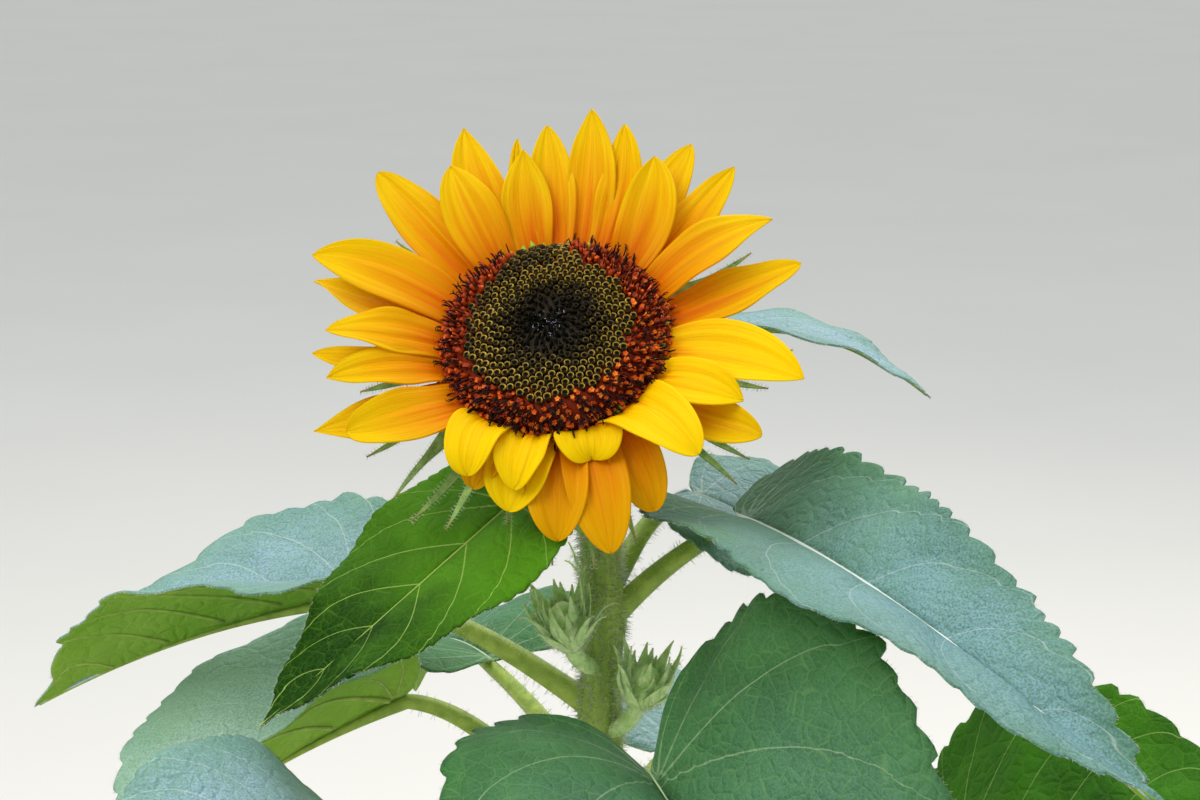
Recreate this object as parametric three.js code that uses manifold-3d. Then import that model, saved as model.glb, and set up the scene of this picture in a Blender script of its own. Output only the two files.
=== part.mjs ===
// Sunflower plant, rooted in the ground, with one open flower head that faces up and forward.
// Millimetres, +Z up. The origin is the middle of the flat cut under the stem, at ground level.
// The head looks towards -Y, and +X is to its right as seen from the front.
import * as THREE from 'three';
import { mergeVertices } from 'three/addons/utils/BufferGeometryUtils.js';
import Module from 'manifold-3d';

const wasm = await Module();
wasm.setup();

const { Vector3 } = THREE;
const rad = THREE.MathUtils.degToRad;
const UPWARD = new Vector3(0, 0, 1);

// Gap that every solid keeps to its neighbours
const CLEARANCE = 0.3;

// Stem: it tapers from a flared foot to a neck that bends over to carry the head
const STEM_FOOT_RADIUS = 11.5;
const STEM_LOW_RADIUS = 8.2;
const STEM_NECK_RADIUS = 5.6;
const ROOT_FLARE_HEIGHT = 26;
const STEM_SWAY = -0.5;
const SWAY_HALF_TURNS = 1.85;
const NECK_START_HEIGHT = 440;
const NECK_REACH = 20;
const NECK_SWELL = 0.9;
const STEM_SIDES = 10;
const STRAIGHT_RINGS = 11;
const STRAIGHT_CROWDING = 1.25;
const NECK_RINGS = 6;

// Flower head: its disc's rim plane, the way it faces and its measures from that plane
const HEAD_CENTRE = new Vector3(-12.6, -29.1, 496.2);
const HEAD_LIFT = 45;
const HEAD_TURN = 9.5;
const DISC_RADIUS = 30.8;
const DISC_DOME = 10;
const DISC_UNDERSIDE = -1.2;
const RECEPTACLE_DEPTH = 24;
const RECEPTACLE_TOP = -1.5;
const RECEPTACLE_RIM_RADIUS = 30.2;
const RECEPTACLE_BACK_RADIUS = 6.8;
const RECEPTACLE_PROFILE = [[30.8, -4], [29, -8], [23, -14], [14, -19.5], [7.5, -22.5]];

// Ray florets: thin cambered blades that leave the disc's rim in two whorls
const RAY_THICKNESS = 0.9;
const RAY_ROOT_RADIUS = 30.9;
const WHORL_STEP = 2.2;
const RAY_CUP = 0.16;
const RAY_ROOT_SHARE = 0.3;
const RAY_ROWS = 7;

// Green bracts behind the rays. They stand in a front and a back circle, each with the radius
// and height of its roots and the rise there (degrees). Each bract has its place round the disc,
// its length, the rise at its tip and its sideways sweep.
const BRACT_WIDTH = 4.8;
const BRACT_THICKNESS = 0.9;
const BRACT_SECTIONS = 6;
const BRACT_CIRCLES = [
  { radius: 28.5, height: -6.5, rise: -20 },
  { radius: 25.5, height: -9.5, rise: -38 },
];
const BRACTS = [
  { at: 30, length: 36, tip: 13, sweep: 0, circle: 0 },
  { at: 50, length: 28, tip: 8, sweep: 6, circle: 1 },
  { at: 72, length: 27, tip: 2, sweep: -5, circle: 0 },
  { at: 94, length: 28, tip: 10, sweep: 4, circle: 1 },
  { at: 114, length: 36, tip: 26, sweep: 0, circle: 0 },
  { at: 137, length: 36, tip: 28, sweep: 6, circle: 0 },
  { at: 161, length: 30, tip: 4, sweep: -6, circle: 1 },
  { at: 183, length: 30, tip: -4, sweep: 5, circle: 0 },
  { at: 205, length: 33, tip: -2, sweep: 3, circle: 0 },
  { at: 216, length: 35, tip: -28, sweep: 2, circle: 0 },
  { at: 225, length: 38, tip: -4, sweep: -2, circle: 1 },
  { at: 237, length: 32, tip: -24, sweep: -3, circle: 0 },
  { at: 252, length: 25, tip: -21, sweep: 5, circle: 0 },
  { at: 267, length: 35, tip: -38, sweep: -1, circle: 0 },
  { at: 279, length: 37, tip: -34, sweep: -4, circle: 0 },
  { at: 284, length: 38, tip: -48, sweep: 2, circle: 1 },
  { at: 292, length: 33, tip: -31, sweep: -7, circle: 0 },
  { at: 304, length: 27, tip: -23, sweep: 0, circle: 1 },
  { at: 322, length: 36, tip: -24, sweep: -1, circle: 0 },
  { at: 332, length: 37, tip: -9, sweep: -1, circle: 1 },
  { at: 348, length: 32, tip: -2, sweep: 1, circle: 0 },
  { at: 359, length: 38, tip: 6, sweep: 1, circle: 0 },
];

// Leaves: a toothed heart-shaped blade on a petiole that goes on under it as the midrib
const LEAF_THICKNESS_SHARE = 0.0125;
const LEAF_COLUMNS = 10;
const LEAF_ROWS = 3;
const LEAF_TOOTH = 0.035;
const SPINE_CROWDING = 2.4;
const PETIOLE_SIDES = 5;
const PETIOLE_RINGS = 6;
const PETIOLE_ROOT_RADIUS = 4.2;
const PETIOLE_TIP_RADIUS = 2.3;
const PETIOLE_REACH_SHARE = 0.35;
const PETIOLE_STRAIGHTNESS = 1.2;
const PETIOLE_LIFT_SHARE = 0.5;
const PETIOLE_LEAST_LIFT = 6;
const PETIOLE_BEDDING = 0.45;
const MIDRIB_END_RADIUS = 0.8;
const MIDRIB_SHARE = 0.5;
const MIDRIB_RINGS = 3;

// Axis of the head, from its back to its face, with the directions to its right and its top
const HEAD_AXIS = new Vector3(
  -Math.cos(rad(HEAD_LIFT)) * Math.sin(rad(HEAD_TURN)),
  -Math.cos(rad(HEAD_LIFT)) * Math.cos(rad(HEAD_TURN)),
  Math.sin(rad(HEAD_LIFT)),
);
const HEAD_RIGHT = new Vector3(1, 0, 0).addScaledVector(HEAD_AXIS, -HEAD_AXIS.x).normalize();
const HEAD_TOP = new Vector3().crossVectors(HEAD_AXIS, HEAD_RIGHT);

// Each ray floret: its place round the disc from the head's right towards its top, length and
// width, rise above the disc's plane at root and tip, sideways sweep (degrees) and whorl
const RAYS = [
  { at: 76, length: 46, width: 14, rise: [25, 10], sweep: 17, whorl: 1 },
  { at: 65, length: 42, width: 13, rise: [20, 10], sweep: 27, whorl: 0 },
  { at: 50, length: 35, width: 16, rise: [30, 10], sweep: 43, whorl: 0 },
  { at: 55, length: 44, width: 14, rise: [15, 5], sweep: 8, whorl: 1 },
  { at: 40, length: 44, width: 14, rise: [20, 5], sweep: 16, whorl: 1 },
  { at: 28, length: 41, width: 15, rise: [40, 0], sweep: -16, whorl: 0 },
  { at: 11, length: 42, width: 15, rise: [16, 8], sweep: 8, whorl: 1 },
  { at: 350, length: 43, width: 18, rise: [20, -5], sweep: -25, whorl: 0 },
  { at: 331, length: 30, width: 15, rise: [40, -20], sweep: 7, whorl: 0 },
  { at: 323, length: 37, width: 14, rise: [10, 0], sweep: 17, whorl: 1 },
  { at: 311, length: 34, width: 17, rise: [60, -30], sweep: 2, whorl: 0 },
  { at: 301, length: 29, width: 14, rise: [10, -50], sweep: -17, whorl: 1 },
  { at: 287, length: 13, width: 18, rise: [70, -80], sweep: -20, whorl: 0 },
  { at: 285, length: 36, width: 17, rise: [10, -45], sweep: -9, whorl: 1 },
  { at: 271, length: 30, width: 17, rise: [10, -45], sweep: -5, whorl: 1 },
  { at: 257, length: 24, width: 18, rise: [30, -50], sweep: -8, whorl: 1 },
  { at: 258, length: 22, width: 14, rise: [60, -60], sweep: -4, whorl: 0 },
  { at: 244, length: 21, width: 12, rise: [40, -60], sweep: -12, whorl: 1 },
  { at: 236, length: 24, width: 15, rise: [70, -60], sweep: 29, whorl: 0 },
  { at: 217, length: 36, width: 16, rise: [35, -10], sweep: -32, whorl: 0 },
  { at: 208, length: 42, width: 15, rise: [10, -5], sweep: -28, whorl: 1 },
  { at: 194, length: 36, width: 13, rise: [45, -15], sweep: -8, whorl: 0 },
  { at: 186, length: 39, width: 10, rise: [10, 0], sweep: -24, whorl: 1 },
  { at: 178, length: 35, width: 15, rise: [40, 0], sweep: 4, whorl: 0 },
  { at: 166, length: 43, width: 13, rise: [20, 0], sweep: -15, whorl: 1 },
  { at: 155, length: 45, width: 17, rise: [35, 0], sweep: 13, whorl: 0 },
  { at: 134, length: 48, width: 15, rise: [22, 5], sweep: -8, whorl: 1 },
  { at: 121, length: 35, width: 16, rise: [35, 5], sweep: -12, whorl: 0 },
  { at: 115, length: 48, width: 15, rise: [20, 5], sweep: -16, whorl: 1 },
  { at: 104, length: 39, width: 6, rise: [20, 10], sweep: -18, whorl: 1 },
  { at: 101, length: 32, width: 14, rise: [30, 15], sweep: -13, whorl: 0 },
  { at: 90, length: 40, width: 13, rise: [20, 10], sweep: 5, whorl: 0 },
];

// Each leaf: height of its petiole's root on the stem, where the petiole meets the blade, the
// blade's tip, the rise of the midrib's arch and its sideways bend as shares of the length,
// roll and twist about the midrib (degrees), then for the right and the left half the width,
// the fold up from the midrib and the droop to the margin (degrees), and last the outline:
// where it is widest, how full it is towards the tip and how far its lobes reach back
const LEAVES = [
  { root: 404, junction: [41, 3, 437], tip: [143, -158, 398], arch: 0.085, bend: 0.07,
    roll: [-2, -3], width: [41, 31], fold: [23, 40], droop: [12, 2], outline: [0.24, 0.45, 0.075] },
  { root: 352, junction: [14, -69, 382], tip: [67, -160, 300], arch: 0.16, bend: 0.08,
    roll: [-4, 21], width: [71, 72], fold: [46, 55], droop: [72, 4], outline: [0.22, 0.5, 0.1] },
  { root: 432, junction: [-22.3, -31, 451.8], tip: [-93, -73, 397], arch: 0.015, bend: -0.025,
    roll: [0, -5], width: [37, 34], fold: [11, 11], droop: [2, 32], outline: [0.28, 0.45, 0.075] },
  { root: 377, junction: [-69.5, 10, 412], tip: [-171, 10, 376], arch: 0.03, bend: 0.06,
    roll: [7, -34], width: [40, 57], fold: [46, 39], droop: [18, 36], outline: [0.28, 0.5, 0.075] },
  { root: 334, junction: [-58, -3, 384], tip: [-140, -44, 341], arch: 0.02, bend: 0.04,
    roll: [1, 0], width: [58, 43], fold: [36, 50], droop: [40, 25], outline: [0.26, 0.5, 0.06] },
  { root: 318, junction: [-65, -70, 354], tip: [-132, -137, 365], arch: 0.18, bend: -0.025,
    roll: [10, 2], width: [40, 43], fold: [24, 14], droop: [6, 24], outline: [0.26, 0.5, 0.075] },
  { root: 412, junction: [29, 37, 436], tip: [80, 24, 398], arch: 0.09, bend: 0.01,
    roll: [-2, -7], width: [37, 36], fold: [9, 16], droop: [23, 15], outline: [0.26, 0.5, 0.075] },
  { root: 446, junction: [25, 37, 487], tip: [99, 22, 469], arch: 0.12, bend: 0.015,
    roll: [6, -2], width: [28, 27], fold: [8, 7], droop: [9, 3], outline: [0.28, 0.4, 0.075] },
  { root: 300, junction: [108, 14, 325], tip: [192, -46, 352], arch: 0.12, bend: 0.05,
    roll: [-16, 0], width: [45, 47], fold: [22, 38], droop: [20, -12], outline: [0.24, 0.5, 0.09] },
  { root: 350, junction: [-35, 70, 372], tip: [-66, 162, 332], arch: 0.12, bend: -0.04,
    roll: [4, 6], width: [42, 42], fold: [22, 22], droop: [20, 26], outline: [0.25, 0.5, 0.085] },
  { root: 322, junction: [21, 58, 346], tip: [70, 150, 306], arch: 0.13, bend: 0.05,
    roll: [-6, 4], width: [48, 46], fold: [20, 24], droop: [26, 20], outline: [0.24, 0.5, 0.09] },
  { root: 262, junction: [-76, 42, 292], tip: [-182, 92, 248], arch: 0.15, bend: 0.04,
    roll: [-4, 8], width: [54, 56], fold: [22, 20], droop: [24, 30], outline: [0.24, 0.5, 0.09] },
  { root: 236, junction: [48, -72, 262], tip: [102, -176, 206], arch: 0.15, bend: -0.05,
    roll: [5, -6], width: [57, 55], fold: [20, 22], droop: [28, 24], outline: [0.24, 0.5, 0.09] },
  { root: 196, junction: [66, 64, 222], tip: [150, 146, 168], arch: 0.16, bend: 0.04,
    roll: [-5, 5], width: [60, 58], fold: [20, 18], droop: [28, 30], outline: [0.24, 0.5, 0.1] },
  { root: 158, junction: [-78, -52, 182], tip: [-176, -116, 120], arch: 0.17, bend: -0.04,
    roll: [6, -4], width: [60, 62], fold: [18, 20], droop: [32, 28], outline: [0.24, 0.5, 0.1] },
  { root: 112, junction: [-28, 92, 136], tip: [-62, 204, 72], arch: 0.17, bend: 0.05,
    roll: [-4, 6], width: [60, 60], fold: [18, 18], droop: [30, 32], outline: [0.24, 0.5, 0.1] },
];

// Flower buds in the leaf axils: height on the stem, heading round it, reach and size
const BUDS = [
  { root: 392, heading: 238, reach: 18, rise: 22, radius: 8.2, length: 19 },
  { root: 372, heading: 312, reach: 17, rise: 24, radius: 7.6, length: 17 },
  { root: 398, heading: 96, reach: 16, rise: 26, radius: 5, length: 14 },
];
const BUD_LEAN = 0.35;
const BUD_STALK_RADII = [2.6, 2.3, 2.4];
const BUD_BRACTS = 6;
const BUD_BRACT_RADII = [2, 1.9, 0.35];
// Bud's egg: share of its length, and share of its radius there
const BUD_EGG = [[0, 0.28], [0.09, 0.64], [0.32, 0.8], [0.54, 0.58], [0.68, 0.22]];
const BUD_EGG_SINK = 0.8;

const STEM_GREEN = [0x73893f, 0.7];
const LEAF_GREEN = [0x5f8a6c, 0.62];
const RAY_YELLOW = [0xffb306, 0.55];
const DISC_BROWN = [0x5a2c12, 0.85];
const BUD_GREEN = [0x7d9440, 0.7];

// Closed triangle list to a solid that can be joined and cut
function solidOf(positions, triangles) {
  const geometry = new THREE.BufferGeometry();
  geometry.setAttribute('position', new THREE.Float32BufferAttribute(positions, 3));
  geometry.setIndex(triangles);
  const merged = mergeVertices(geometry, 1e-4);
  return new wasm.Manifold(new wasm.Mesh({
    numProp: 3,
    vertProperties: new Float32Array(merged.attributes.position.array),
    triVerts: new Uint32Array(merged.index.array),
  }));
}

function geometryOf(solid) {
  const mesh = solid.getMesh();
  const geometry = new THREE.BufferGeometry();
  geometry.setAttribute('position', new THREE.Float32BufferAttribute(mesh.vertProperties, 3));
  geometry.setIndex(Array.from(mesh.triVerts));
  geometry.computeVertexNormals();
  return geometry;
}

// Round limb through a list of centres, with a radius at each and flat ends. The first
// section faces along `startAxis` where one is given.
function limb(centres, radii, sides, startAxis) {
  const positions = [];
  const triangles = [];
  const last = centres.length - 1;
  let across = new Vector3(1, 0, 0);
  centres.forEach((centre, row) => {
    const before = centres[Math.max(row - 1, 0)];
    const after = centres[Math.min(row + 1, last)];
    const along = new Vector3().subVectors(after, before).normalize();
    if (row === 0 && startAxis) along.copy(startAxis);
    if (row === 0 && Math.abs(along.x) > 0.9) across = new Vector3(0, 1, 0);
    across = across.addScaledVector(along, -across.dot(along)).normalize();
    const other = new Vector3().crossVectors(along, across);
    for (let side = 0; side < sides; side += 1) {
      const turn = (2 * Math.PI * side) / sides;
      const point = centre.clone()
        .addScaledVector(across, radii[row] * Math.cos(turn))
        .addScaledVector(other, radii[row] * Math.sin(turn));
      positions.push(point.x, point.y, point.z);
    }
  });
  const index = (row, side) => row * sides + (side % sides);
  for (let row = 0; row < last; row += 1) {
    for (let side = 0; side < sides; side += 1) {
      triangles.push(index(row, side), index(row, side + 1), index(row + 1, side + 1));
      triangles.push(index(row, side), index(row + 1, side + 1), index(row + 1, side));
    }
  }
  for (let side = 1; side < sides - 1; side += 1) {
    triangles.push(index(0, 0), index(0, side + 1), index(0, side));
    triangles.push(index(last, 0), index(last, side), index(last, side + 1));
  }
  return solidOf(positions, triangles);
}

// Thin closed blade from a middle surface: its points, its upward-wound triangles and a thickness
function blade(points, faces, thickness) {
  const normals = points.map(() => new Vector3());
  for (const [a, b, c] of faces) {
    const edge = new Vector3().subVectors(points[b], points[a]);
    const normal = new Vector3().subVectors(points[c], points[a]);
    normal.crossVectors(edge, normal).normalize();
    for (const corner of [a, b, c]) normals[corner].add(normal);
  }
  const positions = [];
  for (const side of [0.5, -0.5]) {
    points.forEach((point, i) => {
      const moved = point.clone().addScaledVector(normals[i].clone().normalize(), side * thickness);
      positions.push(moved.x, moved.y, moved.z);
    });
  }
  const count = points.length;
  const triangles = [];
  const edges = new Map();
  for (const [a, b, c] of faces) {
    triangles.push(a, b, c, a + count, c + count, b + count);
    for (const [p, q] of [[a, b], [b, c], [c, a]]) edges.set(`${p},${q}`, [p, q]);
  }
  for (const [p, q] of edges.values()) {
    if (edges.has(`${q},${p}`)) continue;
    triangles.push(p, p + count, q + count, p, q + count, q);
  }
  return solidOf(positions, triangles);
}

// Rows of points to faces. Rows run along the blade, and columns go from its left to its right.
function gridFaces(rows, columns) {
  const faces = [];
  for (let row = 0; row < rows - 1; row += 1) {
    for (let column = 0; column < columns - 1; column += 1) {
      const a = row * columns + column;
      faces.push([a, a + 1, a + columns + 1], [a, a + columns + 1, a + columns]);
    }
  }
  return faces;
}

// Centre line of the stem: an easy sway up to the neck, then a bend to the back of the head
const HEAD_BACK = HEAD_CENTRE.clone().addScaledVector(HEAD_AXIS, -RECEPTACLE_DEPTH - CLEARANCE);
const NECK = new THREE.CubicBezierCurve3(
  new Vector3(stemSway(NECK_START_HEIGHT), 0, NECK_START_HEIGHT),
  new Vector3(stemSway(NECK_START_HEIGHT), 0, NECK_START_HEIGHT + NECK_REACH),
  HEAD_BACK.clone().addScaledVector(HEAD_AXIS, -NECK_REACH * 0.8),
  HEAD_BACK,
);

function stemSway(height) {
  return STEM_SWAY * Math.sin((height / NECK_START_HEIGHT) * Math.PI * SWAY_HALF_TURNS);
}

function stemCentre(height) {
  return new Vector3(stemSway(height), 0, height);
}

function stemRadius(height) {
  const share = height / NECK_START_HEIGHT;
  const plain = THREE.MathUtils.lerp(STEM_LOW_RADIUS, STEM_NECK_RADIUS, Math.min(share, 1));
  const flare = Math.max(1 - height / ROOT_FLARE_HEIGHT, 0) ** 2;
  return plain + (STEM_FOOT_RADIUS - STEM_LOW_RADIUS) * flare;
}

function stemSolid(extra) {
  const centres = [];
  const radii = [];
  for (let ring = 0; ring < STRAIGHT_RINGS; ring += 1) {
    const height = NECK_START_HEIGHT * (ring / STRAIGHT_RINGS) ** STRAIGHT_CROWDING;
    centres.push(stemCentre(height));
    radii.push(stemRadius(height) + extra);
  }
  for (let ring = 0; ring <= NECK_RINGS; ring += 1) {
    const share = ring / NECK_RINGS;
    centres.push(NECK.getPoint(share));
    radii.push(STEM_NECK_RADIUS + NECK_SWELL * share ** 3 + extra);
  }
  return limb(centres, radii, STEM_SIDES, UPWARD);
}

// A body turned about the head's axis, from rings of [radius, height over the disc's plane]
function headTurned(profile, sides) {
  const positions = [];
  const triangles = [];
  const first = HEAD_CENTRE.clone().addScaledVector(HEAD_AXIS, profile[0][1]);
  const last = HEAD_CENTRE.clone().addScaledVector(HEAD_AXIS, profile[profile.length - 1][1]);
  positions.push(first.x, first.y, first.z, last.x, last.y, last.z);
  const rings = profile.slice(1, -1);
  for (const [radius, height] of rings) {
    for (let side = 0; side < sides; side += 1) {
      const point = onHead((360 * side) / sides, radius, height);
      positions.push(point.x, point.y, point.z);
    }
  }
  const index = (ring, side) => 2 + ring * sides + (side % sides);
  const end = rings.length - 1;
  for (let side = 0; side < sides; side += 1) {
    triangles.push(0, index(0, side), index(0, side + 1));
    triangles.push(1, index(end, side + 1), index(end, side));
    for (let ring = 0; ring < end; ring += 1) {
      triangles.push(index(ring, side), index(ring + 1, side), index(ring + 1, side + 1));
      triangles.push(index(ring, side), index(ring + 1, side + 1), index(ring, side + 1));
    }
  }
  return solidOf(positions, triangles);
}

function outward(at) {
  return HEAD_RIGHT.clone().multiplyScalar(Math.cos(rad(at))).addScaledVector(HEAD_TOP, Math.sin(rad(at)));
}

function onHead(at, radius, height) {
  return HEAD_CENTRE.clone().addScaledVector(outward(at), radius).addScaledVector(HEAD_AXIS, height);
}

function discSolid(extra) {
  const rim = DISC_RADIUS + extra;
  return headTurned([
    [0, DISC_DOME - 0.4], [10, DISC_DOME], [20, DISC_DOME - 2], [25, DISC_DOME - 3],
    [29.5, DISC_DOME - 5.5], [rim, DISC_DOME - 9], [rim, DISC_UNDERSIDE], [0, DISC_UNDERSIDE],
  ], 28);
}

// Green cup behind the disc, with the bracts that leave it in two circles and curl outward
function receptacleSolid(extra) {
  const top = RECEPTACLE_TOP + extra;
  const back = -RECEPTACLE_DEPTH - extra;
  const cup = headTurned([
    [0, top], [RECEPTACLE_RIM_RADIUS + extra, top],
    ...RECEPTACLE_PROFILE.map(([radius, height]) => [radius + extra, height]),
    [RECEPTACLE_BACK_RADIUS + extra, back], [0, back],
  ], 20);
  const parts = [cup];
  for (const bract of BRACTS) {
    const circle = BRACT_CIRCLES[bract.circle];
    const spec = { ...bract, width: BRACT_WIDTH, rise: [circle.rise, bract.tip] };
    const root = onHead(bract.at, circle.radius, circle.height);
    parts.push(petalBlade(spec, root, BRACT_SECTIONS, BRACT_THICKNESS, bractWidth, 0, extra));
  }
  return wasm.Manifold.union(parts);
}

// Width of a bract along its length: full to a third of the way, then drawn out to a thin tip
function bractWidth(u) {
  return Math.min(1, 1.5 * (1 - u)) ** 0.9;
}

// A blade that leaves the head at `root`: it heads outward, rises and sweeps as its spec says
function petalBlade(spec, root, rows, thickness, widthAt, cup, extra) {
  const out = outward(spec.at);
  const around = new Vector3().crossVectors(HEAD_AXIS, out);
  const points = [];
  const centre = root.clone();
  const step = (spec.length + extra) / (rows - 1);
  const heading = (u) => {
    const rise = rad(THREE.MathUtils.lerp(spec.rise[0], spec.rise[1], u));
    const sweep = rad(spec.sweep * u);
    return out.clone().multiplyScalar(Math.cos(rise) * Math.cos(sweep))
      .addScaledVector(around, Math.cos(rise) * Math.sin(sweep))
      .addScaledVector(HEAD_AXIS, Math.sin(rise));
  };
  for (let row = 0; row < rows; row += 1) {
    const u = row / (rows - 1);
    if (row > 0) centre.addScaledVector(heading(u - 0.5 / (rows - 1)), step);
    const along = heading(u);
    const side = new Vector3().crossVectors(HEAD_AXIS, along).normalize();
    const normal = new Vector3().crossVectors(along, side);
    const half = Math.max((spec.width / 2) * widthAt(u), 0.35) + extra;
    for (const v of cup ? [1, 0, -1] : [1, -1]) {
      points.push(centre.clone().addScaledVector(side, half * v).addScaledVector(normal, cup * half * v * v));
    }
  }
  return blade(points, gridFaces(rows, cup ? 3 : 2), thickness + 2 * extra);
}

// Width of a ray floret along its length: a narrow root, a full belly and a pointed tip
function rayWidth(u) {
  const belly = 0.45;
  const rise = Math.sin((Math.min(u / belly, 1) * Math.PI) / 2) ** 1.2;
  const fall = (1 - Math.max((u - belly) / (1 - belly), 0) ** 2) ** 0.9;
  return (RAY_ROOT_SHARE + (1 - RAY_ROOT_SHARE) * rise) * fall;
}

function raySolid(ray, extra) {
  const root = onHead(ray.at, RAY_ROOT_RADIUS, -0.6 - WHORL_STEP * ray.whorl);
  return petalBlade(ray, root, RAY_ROWS, RAY_THICKNESS, rayWidth, RAY_CUP, extra);
}

// Half outline of a leaf from its tip to the notch at the petiole: share of the length
// along it, and share of the half width
function leafOutline([widest, fullness, lobe]) {
  const ahead = 1 - widest;
  const shoulder = 0.35 + 0.5 * fullness;
  return new THREE.CatmullRomCurve3([
    new Vector3(1, 0, 0),
    new Vector3(widest + 0.9 * ahead, 0.16 * shoulder + 0.02, 0),
    new Vector3(widest + 0.72 * ahead, 0.3 + 0.3 * fullness, 0),
    new Vector3(widest + 0.48 * ahead, 0.58 + 0.34 * fullness, 0),
    new Vector3(widest + 0.22 * ahead, 0.88 + 0.1 * fullness, 0),
    new Vector3(widest, 1, 0),
    new Vector3(widest * 0.35, 0.93, 0),
    new Vector3(-0.4 * lobe, 0.74, 0),
    new Vector3(-lobe, 0.48, 0),
    new Vector3(-0.8 * lobe, 0.24, 0),
    new Vector3(-0.4 * lobe, 0.05, 0),
  ], false, 'catmullrom', 0.5);
}

// Point of the midrib at share u of its length, with the way it runs
function midribAt(leaf, u) {
  const start = new Vector3(...leaf.junction);
  const chord = new Vector3(...leaf.tip).sub(start);
  const length = chord.length();
  const side = new Vector3().crossVectors(chord, UPWARD).normalize();
  const up = new Vector3().crossVectors(side, chord).normalize();
  const bow = 4 * u * (1 - u) * length;
  const bowRate = 4 * (1 - 2 * u) * length;
  const point = start.addScaledVector(chord, u)
    .addScaledVector(up, leaf.arch * bow).addScaledVector(side, leaf.bend * bow);
  const along = chord.clone()
    .addScaledVector(up, leaf.arch * bowRate).addScaledVector(side, leaf.bend * bowRate).normalize();
  return { point, along, length };
}

// Point of a blade: x is the share of the length, y the share of the half width, right is +
function leafPoint(leaf, x, y) {
  const { point, along } = midribAt(leaf, x);
  const level = new Vector3().crossVectors(along, UPWARD).normalize();
  const raised = new Vector3().crossVectors(level, along);
  const roll = rad(leaf.roll[0] + leaf.roll[1] * THREE.MathUtils.clamp(x, 0, 1));
  const side = level.clone().multiplyScalar(Math.cos(roll)).addScaledVector(raised, Math.sin(roll));
  const normal = raised.multiplyScalar(Math.cos(roll)).addScaledVector(level, -Math.sin(roll));
  const half = y > 0 ? 0 : 1;
  const fold = rad(leaf.fold[half]);
  const curl = -rad(leaf.droop[half]) || 1e-4;
  const turned = fold + curl * Math.abs(y);
  const out = (leaf.width[half] * (Math.sin(turned) - Math.sin(fold))) / curl;
  const rise = (leaf.width[half] * (Math.cos(fold) - Math.cos(turned))) / curl;
  return point.addScaledVector(side, Math.sign(y) * out).addScaledVector(normal, rise);
}

// Share of the midrib's length where a column of the blade starts: the last two share its foot
function spineShare(column) {
  const lastColumn = LEAF_COLUMNS - 1;
  return column > lastColumn - 2 ? 0 : (1 - column / lastColumn) ** SPINE_CROWDING;
}

// Blade of a leaf: both halves fan out from shared points on the midrib
function leafBlade(leaf, thickness, extra) {
  const outline = leafOutline(leaf.outline);
  const longer = 1 + extra / midribAt(leaf, 0).length;
  const wider = 1 + extra / leaf.width[0];
  const lastColumn = LEAF_COLUMNS - 1;
  const points = [];
  const addPoint = (x, y) => points.push(leafPoint(leaf, x, y)) - 1;

  const spine = [addPoint(longer, 0)];
  for (let column = 1; column < lastColumn; column += 1) spine.push(addPoint(spineShare(column), 0));
  spine.push(spine[lastColumn - 1]);

  const faces = [];
  for (const way of [1, -1]) {
    const columns = spine.map((foot, column) => {
      if (column === 0) return new Array(LEAF_ROWS + 1).fill(foot);
      const edge = outline.getPoint(column / lastColumn);
      const tooth = column < lastColumn - 1 ? 1 + LEAF_TOOTH * (column % 2 ? 1 : -1) : 1;
      const rows = [foot];
      for (let row = 1; row <= LEAF_ROWS; row += 1) {
        const share = row / LEAF_ROWS;
        const x = THREE.MathUtils.lerp(spineShare(column), edge.x * longer, share);
        rows.push(addPoint(x, way * edge.y * tooth * wider * share));
      }
      return rows;
    });
    for (let column = 0; column < lastColumn; column += 1) {
      for (let row = 0; row < LEAF_ROWS; row += 1) {
        const inner = [columns[column][row], columns[column + 1][row]];
        const outer = [columns[column + 1][row + 1], columns[column][row + 1]];
        const quad = [...inner, ...outer];
        if (way < 0) quad.reverse();
        for (const face of [[quad[0], quad[1], quad[2]], [quad[0], quad[2], quad[3]]]) {
          if (new Set(face).size === 3) faces.push(face);
        }
      }
    }
  }
  return blade(points, faces, thickness);
}

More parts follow.
